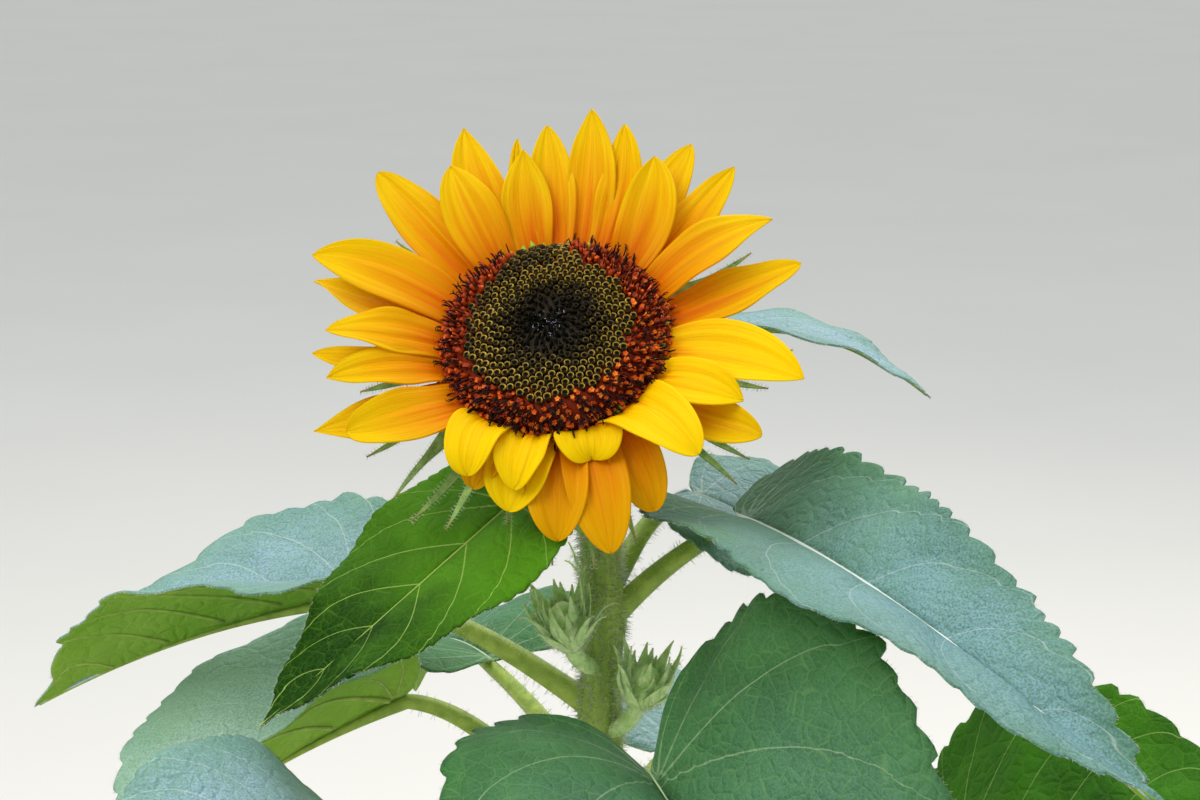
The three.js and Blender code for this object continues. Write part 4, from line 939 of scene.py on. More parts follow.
# %% Petals' table
# Place round the head in degrees, length, width, rise at root and tip, sweep, ring
RAY_TABLE = [
    (76, 46, 14, 25, 10, 17, 1), (65, 42, 13, 20, 10, 27, 0), (50, 35, 16, 30, 10, 43, 0),
    (55, 44, 14, 15, 5, 8, 1), (40, 44, 14, 20, 5, 16, 1), (28, 41, 15, 40, 0, -16, 0),
    (11, 42, 15, 16, 8, 8, 1), (350, 43, 18, 20, -5, -25, 0), (331, 30, 15, 40, -20, 7, 0),
    (323, 37, 14, 10, 0, 17, 1), (311, 34, 17, 60, -30, 2, 0), (301, 29, 14, 10, -50, -17, 1),
    (287, 13, 18, 70, -80, -20, 0), (285, 36, 17, 10, -45, -9, 1), (271, 30, 17, 10, -45, -5, 1),
    (257, 24, 18, 30, -50, -8, 1), (258, 22, 14, 60, -60, -4, 0), (244, 21, 12, 40, -60, -12, 1),
    (236, 24, 15, 70, -60, 29, 0), (217, 36, 16, 35, -10, -32, 0), (208, 42, 15, 10, -5, -28, 1),
    (194, 36, 13, 45, -15, -8, 0), (186, 39, 10, 10, 0, -24, 1), (178, 35, 15, 40, 0, 4, 0),
    (166, 43, 13, 20, 0, -15, 1), (155, 45, 17, 35, 0, 13, 0), (134, 48, 15, 22, 5, -8, 1),
    (121, 35, 16, 35, 5, -12, 0), (115, 48, 15, 20, 5, -16, 1), (104, 39, 6, 20, 10, -18, 1),
    (101, 32, 14, 30, 15, -13, 0), (90, 40, 13, 20, 10, 5, 0),
]
RAY_ROOT_RADIUS, WHORL_STEP, RAY_CUP = 30.9, 2.2, 0.16
print("rays:", len(RAY_TABLE))

# %% Places round the head
def outward(at):
    """Unit direction from the head's middle towards a place round it, in degrees from its right."""
    turn = np.radians(np.asarray(at, float))[..., None]
    return HEAD_RIGHT * np.cos(turn) + HEAD_TOP * np.sin(turn)


def on_head(at, radius, height):
    """Point round the head at a radius from its axis and a height over the disc's plane."""
    radius, height = np.asarray(radius, float)[..., None], np.asarray(height, float)[..., None]
    return HEAD_CENTRE + outward(at) * radius + HEAD_AXIS * height


print("top of the disc's rim, mm:", on_head(90, RAY_ROOT_RADIUS, 0).round(1))

# %% Straps
def blade_line(at, length, rise, sweep, twist, root, u):
    """Centre line of a petal or bract and its three directions at each share u: along it, to its
    side and off its face. Its heading is out of the head, raised by an angle that changes evenly
    from root to tip, and swept sideways. The line is the sum of its steps, each along the heading
    at its middle. The side and the face turn about it by the twist times the square of the share."""
    out = outward(at)
    around = np.cross(HEAD_AXIS, out)

    def heading(share):
        raised = np.radians(rise[0] + (rise[1] - rise[0]) * share)[:, None]
        swept = np.radians(sweep * share)[:, None]
        level = np.cos(swept) * out + np.sin(swept) * around
        return np.cos(raised) * level + np.sin(raised) * HEAD_AXIS

    steps = np.diff(u)[:, None] * length * heading((u[1:] + u[:-1]) / 2)
    centre = root + np.concatenate([np.zeros((1, 3)), np.cumsum(steps, axis=0)])
    along = heading(u)
    flat_side = unit(np.cross(HEAD_AXIS, along))
    flat_face = np.cross(along, flat_side)
    turn = (np.radians(twist) * u ** 2)[:, None]
    side = flat_side * np.cos(turn) + flat_face * np.sin(turn)
    return centre, along, side, flat_face * np.cos(turn) - flat_side * np.sin(turn)


def strap(line, across, lift):
    """Sheet of points: the line moved to its side and off its face by mm at each (row, column)."""
    centre, _, side, face = line
    return centre[:, None] + side[:, None] * across[..., None] + face[:, None] * lift[..., None]


def blade_map(u, v):
    """A blade's map, once for each of its two sheets: the share of its length and the place across
    it, from 1 to -1."""
    return np.tile(np.stack(np.broadcast_arrays(u, v), axis=-1).reshape(-1, 2), (2, 1))


def ray_width(u, point, root):
    """Share of the full width: from the share `root` up along a sine to the belly, then down to the
    tip, which a larger `point` makes sharper."""
    belly = 0.45
    rise = np.sin(np.minimum(u / belly, 1) * np.pi / 2) ** 1.2
    fall = (1 - np.maximum((u - belly) / (1 - belly), 0) ** 2) ** point
    return (root + (1 - root) * rise) * fall


# %% Petal relief
def petal_relief(u, v, half, rng):
    """Height of a petal over a flat strap at each place, and how far its tip is notched, in mm. Its
    parts are a cup across it, two pleats at a third of its half width, fine ribs, waves along the
    margins, a twist, and a hood at the tip. Pleats, ribs and waves fade at both ends."""
    swell = np.sin(np.pi * np.clip(u, 0, 1)) ** 0.6
    pleat = -0.75 * swell * np.exp(-((np.abs(v + rng.normal(0, 0.06)) - 0.34) / 0.15) ** 2)
    pleat = pleat * (0.5 + 0.9 * rng.random())
    ribs = 0.1 * swell * np.cos(2 * np.pi * (3.3 * v + rng.random()))
    waves = (1.2 + rng.random()) * u + 0.3 * np.sign(v) + rng.random()
    ripple = 0.7 * np.abs(v) ** 3 * swell * np.sin(2 * np.pi * waves)
    tilt = np.tan(np.radians(rng.uniform(-7, 7))) * u * v * half
    hood = rng.uniform(0.0, 0.55) * u ** 3 * np.abs(v) * half
    height = RAY_CUP * half * v ** 2 + pleat + ribs + ripple + tilt + hood
    notch_depth = rng.uniform(0.3, 1.4) * u ** 14
    notch = notch_depth * np.exp(-((v - rng.uniform(-0.3, 0.3)) / 0.35) ** 2)
    return height, notch


# %% Make the petals
PETAL_ROWS, PETAL_COLUMNS = 46, 25
FOLDED_RAY = 11
# The petals that take the copy with painted light and those that take the copy with painted shade
LIT_LEMON, SHADED_AMBER = {8, 9, 11, 13, 16, 17, 19}, {12, 14, 15, 18}
tissues = {**dict.fromkeys(LIT_LEMON, lit_lemon_petal), **dict.fromkeys(SHADED_AMBER, shaded_amber_petal)}
for number, (at, length, width, rise_root, rise_tip, sweep, whorl) in enumerate(RAY_TABLE):
    rng = np.random.default_rng(300 + number)
    ray = number + 1
    u = 1 - (1 - np.linspace(0, 1, PETAL_ROWS)) ** 1.5
    v = np.linspace(1, -1, PETAL_COLUMNS)[None]
    low = np.sin(np.radians(at)) < -0.6
    point = rng.uniform(0.5, 0.7) if low else rng.uniform(0.65, 1.0)
    root_share = 1.15 if ray == FOLDED_RAY else 0.85 if low else 0.68
    half = np.maximum(1.04 * width / 2 * ray_width(u, point, root_share), 0.25)[:, None]
    root = on_head(at, RAY_ROOT_RADIUS, -0.6 - WHORL_STEP * whorl)
    line = blade_line(at, length, (rise_root, rise_tip), sweep, rng.normal(0, 12), root, u)
    height, notch = petal_relief(u[:, None], v, half, rng)
    grid = strap(line, half * v, height) - line[1][:, None] * notch[..., None]
    points, faces, sides = blade(grid, 0.3 + 0.25 * (1 - u[:, None]) * np.ones_like(v))
    petal_map = blade_map(u[:, None], v + 3.0 * number)
    tissue = tissues.get(ray, golden_petal)
    add_piece(f"ray_floret_{ray:02d}_petal", points, faces, [tissue], "rays",
              maps={"petal": petal_map}, crisp=sides == 2, stands_for=[f"ray_floret_{ray:02d}"])

# %% [markdown]
# ## Disc
# The disc is a dome of about eight hundred florets. Each new one forms at the golden angle, 137.5
# degrees on from the last, and all take up the same room, so the radius grows as the square root
# of the count. That gives the crossing spirals. The outer florets are open, those inside them are
# closed buds with a lip round a dark pit, and the middle is a dark nest of the youngest.

# %% Disc floor
# Radius and height of the dome's profile
DISC_PROFILE = np.array([(0, 9.6), (10, 10), (20, 8), (25, 7), (29.5, 4.5), (30.8, 1)])
FLORET_DEPTH = 1.6


def disc_height(radius):
    """Height of the dome over the disc's plane."""
    return np.interp(radius, DISC_PROFILE[:, 0], DISC_PROFILE[:, 1])


def head_turned(profile, sides):
    """Points and faces of a closed body turned about the head's axis. Its profile runs from the top
    down, so its faces are turned round."""
    turn = np.arange(sides) * 360 / sides
    ones = np.ones(sides)
    rings = [on_head(turn, radius * ones, height * ones) for radius, height in profile[1:-1]]
    ends = [HEAD_CENTRE + HEAD_AXIS * profile[0][1], HEAD_CENTRE + HEAD_AXIS * profile[-1][1]]
    points = np.concatenate(rings + [np.array(ends)])
    faces = ring_faces(len(rings), sides)
    return points, np.concatenate([faces[:-2 * sides, ::-1], faces[-2 * sides:, [1, 0, 2, 3]]])


floor_radii = (0, 4, 8, 12, 16, 20, 23, 26, 28)
floor_profile = [(radius, disc_height(radius) - FLORET_DEPTH) for radius in floor_radii]
floor_profile += [(29.5, disc_height(29.5) - 2), (30.4, -0.6), (30.2, -1.2), (0, -1.2)]
disc_floor = head_turned(floor_profile, 72)
rust_zone = np.linalg.norm(disc_floor[0][disc_floor[1][:, 0]] - HEAD_CENTRE, axis=1) > 22
add_piece("disc_floor", *disc_floor, [floret_flank, floret_under], "disc_florets", looks=rust_zone,
          stands_for=["head_disc"])

# %% Floret places
GOLDEN_ANGLE, FLORET_SPACE = 137.508, 1.22
RIM_RADII, RIM_CIRCLE = (29.0, 30.3), 84
count = int((31.2 / FLORET_SPACE) ** 2)
order = np.arange(count)
rng = np.random.default_rng(5)
floret_radius = FLORET_SPACE * np.sqrt(order + 0.5)
floret_at = (order * GOLDEN_ANGLE + rng.normal(0, 0.5, count)) % 360

# The rim falls off steeply, so it holds two more circles of florets than the spiral gives it
rim_count = len(RIM_RADII) * RIM_CIRCLE
rim_radius = np.repeat(RIM_RADII, RIM_CIRCLE)
floret_radius = np.concatenate([floret_radius, rim_radius + rng.normal(0, 0.25, rim_count)])
rim_at = np.arange(rim_count) * 360 / RIM_CIRCLE + 0.02 * rim_radius
floret_at = np.concatenate([floret_at, (rim_at + rng.normal(0, 1.2, rim_count)) % 360])
count = len(floret_at)
slope = (disc_height(floret_radius + 0.5) - disc_height(floret_radius - 0.5))[:, None]
floret_out = outward(floret_at)
floret_normal = unit(HEAD_AXIS - floret_out * np.clip(slope, -1.2, 1))
floret_place = on_head(floret_at, floret_radius, disc_height(floret_radius) - FLORET_DEPTH)

# The open ring is wide at the lower right and thin at the top
open_from = 23.5 - 1.1 * np.cos(np.radians(floret_at)) + 9 * np.exp(-((floret_at - 97) / 19) ** 2)
is_open = floret_radius > open_from + rng.normal(0, 0.3, count)
is_young = floret_radius < 8.5 + rng.normal(0, 0.5, count)
is_closed = ~is_open & ~is_young
print("florets:", count, " open:", is_open.sum(), " closed:", is_closed.sum(),
      " young:", is_young.sum())

# %% Closed florets
closed_profile = [(0, -0.6), (0.7, -0.6), (0.94, 0.6), (0.98, 1.3), (0.78, 1.72), (0.55, 1.5), (0, 0.7)]
closed_shape = turned_shape(closed_profile, 8)
rng = np.random.default_rng(6)
closed_radius = floret_radius[is_closed]
lean = unit(floret_normal[is_closed] + rng.normal(0, 0.07, (is_closed.sum(), 3)))
size = np.interp(closed_radius, [8, 13, 24], [0.76, 1.0, 1.14])
size = size * rng.uniform(0.9, 1.08, is_closed.sum())
towards_top = unit(HEAD_TOP - (lean @ HEAD_TOP)[:, None] * lean + rng.normal(0, 0.2, lean.shape))
beside = unit(np.cross(lean, towards_top))
closed_frames = np.stack([np.cross(beside, lean), beside, lean], axis=1)
points, faces = scatter(closed_shape, floret_place[is_closed], closed_frames, size)
# Colours: 0 pale rim, 1 olive, 2 dim, 3 flank, 4 pit. The lip has painted light on its side towards
# the head's top and dims round to painted shade on the other, and the body is painted dimmer on that
# side too. Nearer the middle every floret is a step darker, and at the upper left of the rim a step
# darker as painted shade
uneven = closed_radius + rng.normal(0, 1.0, is_closed.sum())
shaded_side = (np.cos(np.radians(floret_at[is_closed] - 142)) > 0.6) & (uneven > 20.5)
darker = np.select([uneven < 11.5, shaded_side | (uneven < 15)], [2, 1], 0)
outer_lip, inner_lip = np.array([0, 0, 1, 3, 3, 1, 0, 0]), np.array([1, 2, 3, 3, 3, 3, 2, 1])
flank, body, pit = np.full(8, 3), np.array([1, 1, 2, 2, 2, 2, 1, 1]), np.full(8, 4)
closed_looks = np.concatenate([flank, body, outer_lip, inner_lip, flank, pit])
closed_looks = np.where(closed_looks == 4, 4, np.minimum(closed_looks + darker[:, None], 3)).ravel()
add_piece("florets_closed", points, faces, [floret_lip_lit, floret_olive, floret_dim_and_shaded, floret_flank,
          floret_pit], "disc_florets", looks=closed_looks)

# %% [markdown]
# Between the florets stand dark pointed scales, the chaff. In the middle they are longer and lean
# inwards over the youngest buds, which is what makes the dark eye of the disc.

# %% Chaff and young buds
spike = turned_shape([(0, -0.4), (0.3, -0.4), (0.26, 0.7), (0.1, 1.6), (0, 2.0)], 4)
rng = np.random.default_rng(7)
inner = floret_radius < 24
middle_pull = np.interp(floret_radius[inner], [0, 9, 14, 24], [0.9, 0.75, 0.25, 0.1])[:, None]
inward = floret_normal[inner] - floret_out[inner] * middle_pull
scale_axis = unit(inward + rng.normal(0, 0.14, (inner.sum(), 3)))
scale_place = floret_place[inner] + floret_out[inner] * 0.95 + rng.normal(0, 0.2, (inner.sum(), 3))
scale_size = np.interp(floret_radius[inner], [0, 6, 10, 14, 24], [1.7, 1.6, 1.2, 0.95, 0.9])
scale_size = scale_size * rng.uniform(0.85, 1.2, inner.sum())
first = scatter(spike, scale_place, frames_along(scale_axis, rng), scale_size)
extra = floret_radius < 11
extra_place = floret_place[extra] - floret_out[extra] * 0.2 + rng.normal(0, 0.35, (extra.sum(), 3))
extra_axis = unit(floret_normal[extra] - floret_out[extra] * 0.8 + rng.normal(0, 0.2, (extra.sum(), 3)))
second = scatter(spike, extra_place, frames_along(extra_axis, rng), rng.uniform(1.1, 1.7, extra.sum()))
add_piece("disc_chaff", *join([first, second]), [scale_black], "disc_florets")

bud_shape = turned_shape([(0, -0.4), (0.5, -0.4), (0.6, 0.6), (0.3, 1.3), (0, 1.5)], 6)
young_frames = frames_along(floret_normal[is_young], rng)
young_size = rng.uniform(0.8, 1.1, is_young.sum())
points, faces = scatter(bud_shape, floret_place[is_young], young_frames, young_size)
add_piece("florets_young", points, faces, [floret_flank], "disc_florets")

# Painted highlights: a few tiny pale bluish points at the very middle stand for glints of light on the
# dark scales
GLINTS = 34
glint_height = 9.6 + rng.uniform(-0.2, 1.3, GLINTS)
glint_at = rng.uniform(0, 360, GLINTS)
glint_place = on_head(glint_at, 5.2 * rng.random(GLINTS) ** 0.8, glint_height)
glint = turned_shape([(0, -0.3), (0.1, -0.2), (0.08, 0.2), (0, 0.4)], 4)
glint_axis = unit(HEAD_AXIS + rng.normal(0, 0.5, (GLINTS, 3)))
glint_frames = frames_along(glint_axis, rng)
points, faces = scatter(glint, glint_place, glint_frames, rng.uniform(0.6, 1.2, GLINTS))
add_piece("scale_glints_painted", points, faces, [painted_glint], "disc_florets")

# %% [markdown]
# An open floret is a small tube that flares into five pointed lobes. A dark tube of stamens stands
# out of it, and its tip bends over and curls. The nearer the rim, the more they lean outwards.

# %% Open florets
LOBED_SIDES = 10
turn, ones = np.arange(LOBED_SIDES), np.ones(LOBED_SIDES)
lobed = np.stack([ones, ones, np.where(turn % 2, 0.9, 1.08), np.where(turn % 2, 0.66, 1.1), ones])
corolla_profile = [(0, -0.5), (0.5, -0.5), (0.6, 1.0), (0.66, 1.9), (0.76, 2.7), (0.4, 2.3), (0, 2.1)]
corolla = turned_shape(corolla_profile, LOBED_SIDES, pinch=lobed)
rng = np.random.default_rng(8)
open_count = is_open.sum()
open_out = floret_out[is_open]
rimward = np.clip((floret_radius[is_open] - 21) / 10, 0, 1)[:, None]
open_axis = floret_normal[is_open] + open_out * (0.1 + 0.5 * rimward)
open_axis = unit(open_axis + rng.normal(0, 0.14, (open_count, 3)))
open_size = rng.uniform(0.8, 1.08, open_count)

# Smaller ones, just opening, fill the gaps between them
between = rng.integers(0, open_count, open_count)
gap_place = floret_place[is_open][between] + rng.normal(0, 0.75, (open_count, 3))
gap_axis = unit(open_axis[between] + rng.normal(0, 0.25, (open_count, 3)))
all_places = np.concatenate([floret_place[is_open], gap_place])
all_axes = np.concatenate([open_axis, gap_axis])
all_sizes = np.concatenate([open_size, rng.uniform(0.55, 0.8, open_count)])
points, faces = scatter(corolla, all_places, frames_along(all_axes, rng), all_sizes)
all_at = np.concatenate([floret_at[is_open], floret_at[is_open][between]])
# Painted light: besides a random spread of their own colours, florets towards the lower right more
# often take the bright orange and rust and those towards the upper left the darker red, and only the
# bright ones get rust tube sides
lit = rng.random(2 * open_count) + 0.34 * np.cos(np.radians(all_at + 50))
shade = np.select([lit < 0.42, lit < 0.92], [1, 0], 2)[:, None].repeat(LOBED_SIDES, axis=1)
foot, tube_side = np.full_like(shade, 3), np.where(shade == 2, 0, 1)
shade = np.concatenate([foot, tube_side, tube_side, shade, foot, shade], axis=1).ravel()
add_piece("florets_open", points, faces, [corolla_rust, corolla_red, corolla_orange, floret_under],
          "disc_florets", looks=shade)


def stamen(curl, length, start, radii):
    """A thin four-sided tube that bends over in its own X and Z plane: the line's angle from Z
    grows with the square of the way along it."""
    share = np.linspace(0, 1, len(radii))
    bend = curl * share ** 2
    heading = np.stack([np.sin(bend), np.zeros_like(bend), np.cos(bend)], axis=-1)
    steps = heading[:-1] * length / (len(radii) - 1)
    line = np.array(start) + np.concatenate([np.zeros((1, 3)), np.cumsum(steps, axis=0)])
    return tube(line, np.array(radii), 4, np.array([0.0, 1, 0]))


# %% Stamens
column = (0.17, 0.19, 0.2, 0.19, 0.17, 0.09)
branch = (0.14, 0.17, 0.16, 0.15, 0.13, 0.07)
stamen_kinds = [
    join([stamen(1.2, 2.6, (0, 0, 1.6), column), stamen(3.6, 1.7, (0, 0, 3.4), branch)]),
    join([stamen(1.7, 3.0, (0, 0, 1.6), column), stamen(-3.0, 1.3, (0, 0, 3.0), branch)]),
    join([stamen(2.2, 3.4, (0, 0, 1.5), column), stamen(2.4, 1.8, (0, 0, 2.6), branch)]),
    join([stamen(0.9, 2.8, (0, 0, 1.6), column), stamen(2.8, 2.1, (0, 0, 3.2), branch)]),
]

# Each stands in its floret and bends over away from the middle, more or less, and most in the
# lower half, where they are also most crowded. Most florets show two or three, and those of the
# last two circles none
from_spiral = np.flatnonzero(np.flatnonzero(is_open) < count - rim_count)
lowness = np.maximum(-np.sin(np.radians(floret_at[is_open])), 0)
weight = 1 + 1.5 * lowness[from_spiral]
crowd = rng.choice(from_spiral, len(from_spiral) * 3 // 2, p=weight / weight.sum())
owner = np.concatenate([from_spiral, crowd[floret_radius[is_open][crowd] < 29.5]])
hanging = lowness[owner, None]
upright = open_axis[owner] + 0.7 * hanging * open_out[owner]
upright = unit(upright + rng.normal(0, 0.2, (len(owner), 3)))
away = unit(open_out[owner] + rng.normal(0, 0.45, (len(owner), 3)))
side = unit(np.cross(upright, away))
stamen_frames = np.stack([np.cross(side, upright), side, upright], axis=1)
stamen_size = rng.uniform(0.8, 1.15, len(owner)) * (1 + 0.1 * rimward[owner, 0] + 0.2 * hanging[:, 0])
stamen_foot = floret_place[is_open][owner] + rng.normal(0, 0.35, (len(owner), 3))
kind_of = rng.integers(0, len(stamen_kinds), len(owner))
bunches = []
for kind, shape in enumerate(stamen_kinds):
    chosen = kind_of == kind
    bunches.append(scatter(shape, stamen_foot[chosen], stamen_frames[chosen], stamen_size[chosen]))
add_piece("stamens", *join(bunches), [stamen_brown], "disc_florets")

# %% [markdown]
# At the disc's upper edge a few of the chaff scales are still fresh, yellow and lime green, and
# stand between the florets and the petals.

# %% Fresh scales at the rim
rng = np.random.default_rng(11)
fresh_at = np.array([70, 78, 84, 91, 96, 101, 107, 112, 118, 3, 350, 305])
fresh = len(fresh_at)
fresh_place = on_head(fresh_at, rng.uniform(29.6, 30.6, fresh), rng.uniform(0.2, 1.6, fresh))
fresh_axis = unit(outward(fresh_at) * 0.9 + HEAD_AXIS + rng.normal(0, 0.2, (fresh, 3)))
fresh_frames = frames_along(fresh_axis, rng)
leaflet = turned_shape([(0, -1), (0.7, -0.6), (1.15, 0.8), (0.8, 2.2), (0, 3.6)], 6)
points, faces = scatter(leaflet, fresh_place, fresh_frames, rng.uniform(0.7, 1.25, fresh))
add_piece("scales_fresh", points, faces, [scale_lime], "disc_florets")

# %% [markdown]
# ## Cup and bracts
# Behind the disc is the green cup, and from it grow hairy pointed bracts in two circles. They are
# keeled, taper to a brownish thread and curl back between and below the petals.

# %% Cup
cup_profile = [(0, -1.5), (30.2, -1.5), (30.8, -2.6), (30.8, -4), (30.2, -6), (29, -8), (26.5, -11),
               (23, -14), (18.5, -17), (14, -19.5), (10, -21.6), (7.9, -23), (7.1, -24.5), (6.9, -26),
               (0, -26)]
cup_shape = head_turned(cup_profile, 96)
add_piece("head_cup", *cup_shape, [cup_skin], "bracts", stands_for=["head_receptacle"])

# %% Bracts
BRACT_WIDTH, BRACT_ROWS, BRACT_COLUMNS = 5.4, 34, 9
# Two circles: radius, height and rise at the root. Then the bracts: place round the head in
# degrees, length, rise at the tip, sweep and circle
BRACT_CIRCLES = [(28.5, -6.5, -20), (25.5, -9.5, -38)]
BRACT_TABLE = [
    (30, 36, 13, 0, 0), (50, 28, 8, 6, 1), (72, 27, 2, -5, 0), (94, 28, 10, 4, 1),
    (114, 36, 26, 0, 0), (137, 36, 28, 6, 0), (161, 30, 4, -6, 1), (183, 30, -4, 5, 0),
    (205, 33, -2, 3, 0), (216, 35, -28, 2, 0), (225, 38, -4, -2, 1), (237, 32, -24, -3, 0),
    (252, 25, -21, 5, 0), (267, 35, -38, -1, 0), (279, 37, -34, -4, 0), (284, 38, -48, 2, 1),
    (292, 33, -31, -7, 0), (304, 27, -23, 0, 1), (322, 36, -24, -1, 0), (332, 37, -9, -1, 1),
    (348, 32, -2, 1, 0), (359, 38, 6, 1, 0),
]
bract_shapes, bract_maps, bract_edges = [], [], []
rng = np.random.default_rng(12)
for at, length, rise_tip, sweep, circle in BRACT_TABLE:
    radius, height, rise_root = BRACT_CIRCLES[circle]
    u = np.linspace(0, 1, BRACT_ROWS)
    v = np.linspace(1, -1, BRACT_COLUMNS)[None]
    root = on_head(at, radius, height)
    line = blade_line(at, length, (rise_root, rise_tip), sweep, rng.normal(0, 22), root, u)
    waist = 1 - 0.3 * np.exp(-((u - 0.6) / 0.2) ** 2)
    half = np.maximum(BRACT_WIDTH / 2 * np.minimum(1, 1.5 * (1 - u)) ** 0.9 * waist, 0.2)[:, None]
    keel = 0.35 * half * np.abs(v) ** 1.3 + 0.25 * np.sin(9 * u[:, None] + at) * u[:, None]
    grid = strap(line, half * v, keel)
    bract_shapes.append(blade(grid, 0.55 - 0.2 * u[:, None] * np.ones_like(v))[:2])
    bract_maps.append(blade_map(u[:, None], v))
    bract_edges.append((grid, line[2]))
bract_map = np.concatenate(bract_maps)
add_piece("head_bracts", *join(bract_shapes), [bract_skin], "bracts", maps={"share": bract_map})

# %% [markdown]
# ## Buds
# The buds in the axils are short stalks with an egg of folded green bracts whose hairy tips stand
# out like a crown.

# %% A bud's bracts
# Height of its root, heading in degrees, reach, lift, radius and length
BUD_TABLE = [(392, 238, 18, 22, 8.2, 19), (372, 312, 17, 24, 7.6, 17), (398, 96, 16, 26, 5, 14)]
BUD_BRACTS, BUD_BRACT_ROWS, BUD_BRACT_COLUMNS = 24, 18, 7
BUD_RINGS = 14


def bud_bract(i, base, directions, heading, radius, length, rng):
    """Sheet and map of one bract, every second one inside the others. It stands off the bud's axis
    by a sine of the way along, in shares of the bud's radius, and its tip curls out."""
    axis, across, third = directions
    inner = i % 2
    angle = 2 * np.pi * i / BUD_BRACTS + 0.25 * np.sin(i * 2.1)
    away = across * np.cos(angle) + third * np.sin(angle)
    beside = np.cross(axis, away)
    u = np.linspace(0, 1, BUD_BRACT_ROWS)[:, None]
    v = np.linspace(1, -1, BUD_BRACT_COLUMNS)[None]
    reach_up = length * (0.9 + 0.2 * np.sin(i * 1.9 + heading)) * (0.92 if inner else 1.08)
    belly = 0.45 * np.sin(np.pi * u * 0.7) if inner else 0.8 * np.sin(np.pi * u * 0.62)
    spread = (0.3 if inner else 0.42) + belly
    curl = (0.15 if inner else 0.6) * rng.uniform(0.0, 1.3) * u ** 4
    lifted = reach_up * (u - 0.25 * curl) - (0 if inner else 2.5)
    centre = base + away * radius * (spread + curl) + axis * lifted
    half = radius * 0.36 * (1 - u ** 1.3) ** 1.2 * (0.85 + 0.3 * np.sin(np.pi * u)) + 0.12
    cupped = 0.4 * half * v ** 2
    return centre[:, None] + beside * (half * v)[..., None] - away * cupped[..., None], blade_map(u, v)


# %% Buds
bud_surfaces = []
rng = np.random.default_rng(13)
for number, (root, heading, reach, lift, radius, length) in enumerate(BUD_TABLE):
    turn = np.radians(heading)
    out = np.array([np.cos(turn), np.sin(turn), 0])
    start = stem_centre(root)
    base = start + out * reach + UP * lift * 0.6
    axis = unit(out * 0.35 + UP)
    across = unit(np.cross(axis, out))
    stalk_ends = [start, start + out * reach * 0.6 + UP * 2, base - axis * 6, base + axis]
    stalk_line = bezier(stalk_ends, np.linspace(0, 1, BUD_RINGS))
    shapes = [tube(stalk_line, np.linspace(2.6, 2.5, BUD_RINGS), 12, across)]
    egg_share = np.linspace(0, 1, BUD_RINGS)
    egg_line = base + axis * (length * 0.7 * egg_share - 0.8)[:, None]
    egg_radii = radius * 0.8 * np.sin(np.pi * (0.12 + 0.86 * egg_share) ** 0.8) ** 0.7 + 0.1
    shapes.append(tube(egg_line, egg_radii, 16, across))
    maps = [np.zeros((len(points), 2)) for points, _ in shapes]
    directions = axis, across, np.cross(across, axis)
    for i in range(BUD_BRACTS):
        grid, bract_map = bud_bract(i, base, directions, heading, radius, length, rng)
        shapes.append(blade(grid, 0.45 * np.ones(grid.shape[:2]))[:2])
        maps.append(bract_map)
    name = f"bud_{number + 1:02d}"
    bud_surfaces.append(join(shapes))
    add_piece(name + "_bracts", *bud_surfaces[-1], [bud_skin], "bud",
              maps={"share": np.concatenate(maps)}, stands_for=[name])

# %% [markdown]
# ## Bristles
# Stiff white hairs of one to three millimetres stand on the stem, petioles, bracts and buds, and
# fringe the leaves. They draw a pale line along every edge. Each is a bent three-sided spike, and
# those of one kind are joined in one mesh.

# %% Bristles
hair = turned_shape([(0, -0.12), (0.04, -0.12), (0.03, 0.5), (0, 1.0)], 3)
hair[0][3:6, 0] += 0.06


def bristles(name, places, normals, lengths, spread, rng, slot):
    """Hairs on given places, each tilted at random off the normal."""
    axes = unit(normals + rng.normal(0, spread, normals.shape))
    frames = frames_along(axes, rng)
    points, faces = scatter(hair, places, frames, lengths)
    add_piece(name, points, faces, [bristle_white], slot)


# %% Bristles on the stem
STEM_HAIRS, DENSER_ABOVE, BARE_FOOT = 15000, 330, 4
rng = np.random.default_rng(9)
upper = 0.5 + 1.5 * (stem_shape[0][stem_shape[1][:, 0], 2] > DENSER_ABOVE)
on_stem, stem_normals = spots_on(*stem_shape, STEM_HAIRS, rng, keep=upper)
keep = (on_stem[:, 2] > BARE_FOOT) & ((on_stem - HEAD_BACK) @ HEAD_AXIS < 0)
lengths = rng.uniform(1.0, 3.3, keep.sum())
bristles("stem_bristles", on_stem[keep], stem_normals[keep] - UP * 0.15, lengths, 0.25, rng, "stem")

# %% Bristles on petioles and leaf margins
PETIOLE_HAIRS = 420
MARGIN_HAIRS, SPARSE_MARGIN_HAIRS, DENSE_HALVES = 620, 200, 18


def spots_off_stem(shapes, count, rng):
    """Random places on several shapes, and their normals, without those inside the stem."""
    spots = [spots_on(*shape, count, rng) for shape in shapes]
    places, normals = (np.concatenate(part) for part in zip(*spots))
    away = np.linalg.norm(places[:, :2] - stem_centre(places[:, 2])[:, :2], axis=1)
    clear = away > stem_radius(places[:, 2]) + 1
    return places[clear], normals[clear]


places, normals = spots_off_stem(petiole_shapes, PETIOLE_HAIRS, rng)
bristles("petiole_bristles", places, normals, rng.uniform(0.9, 2.4, len(places)), 0.25, rng, "leaf")

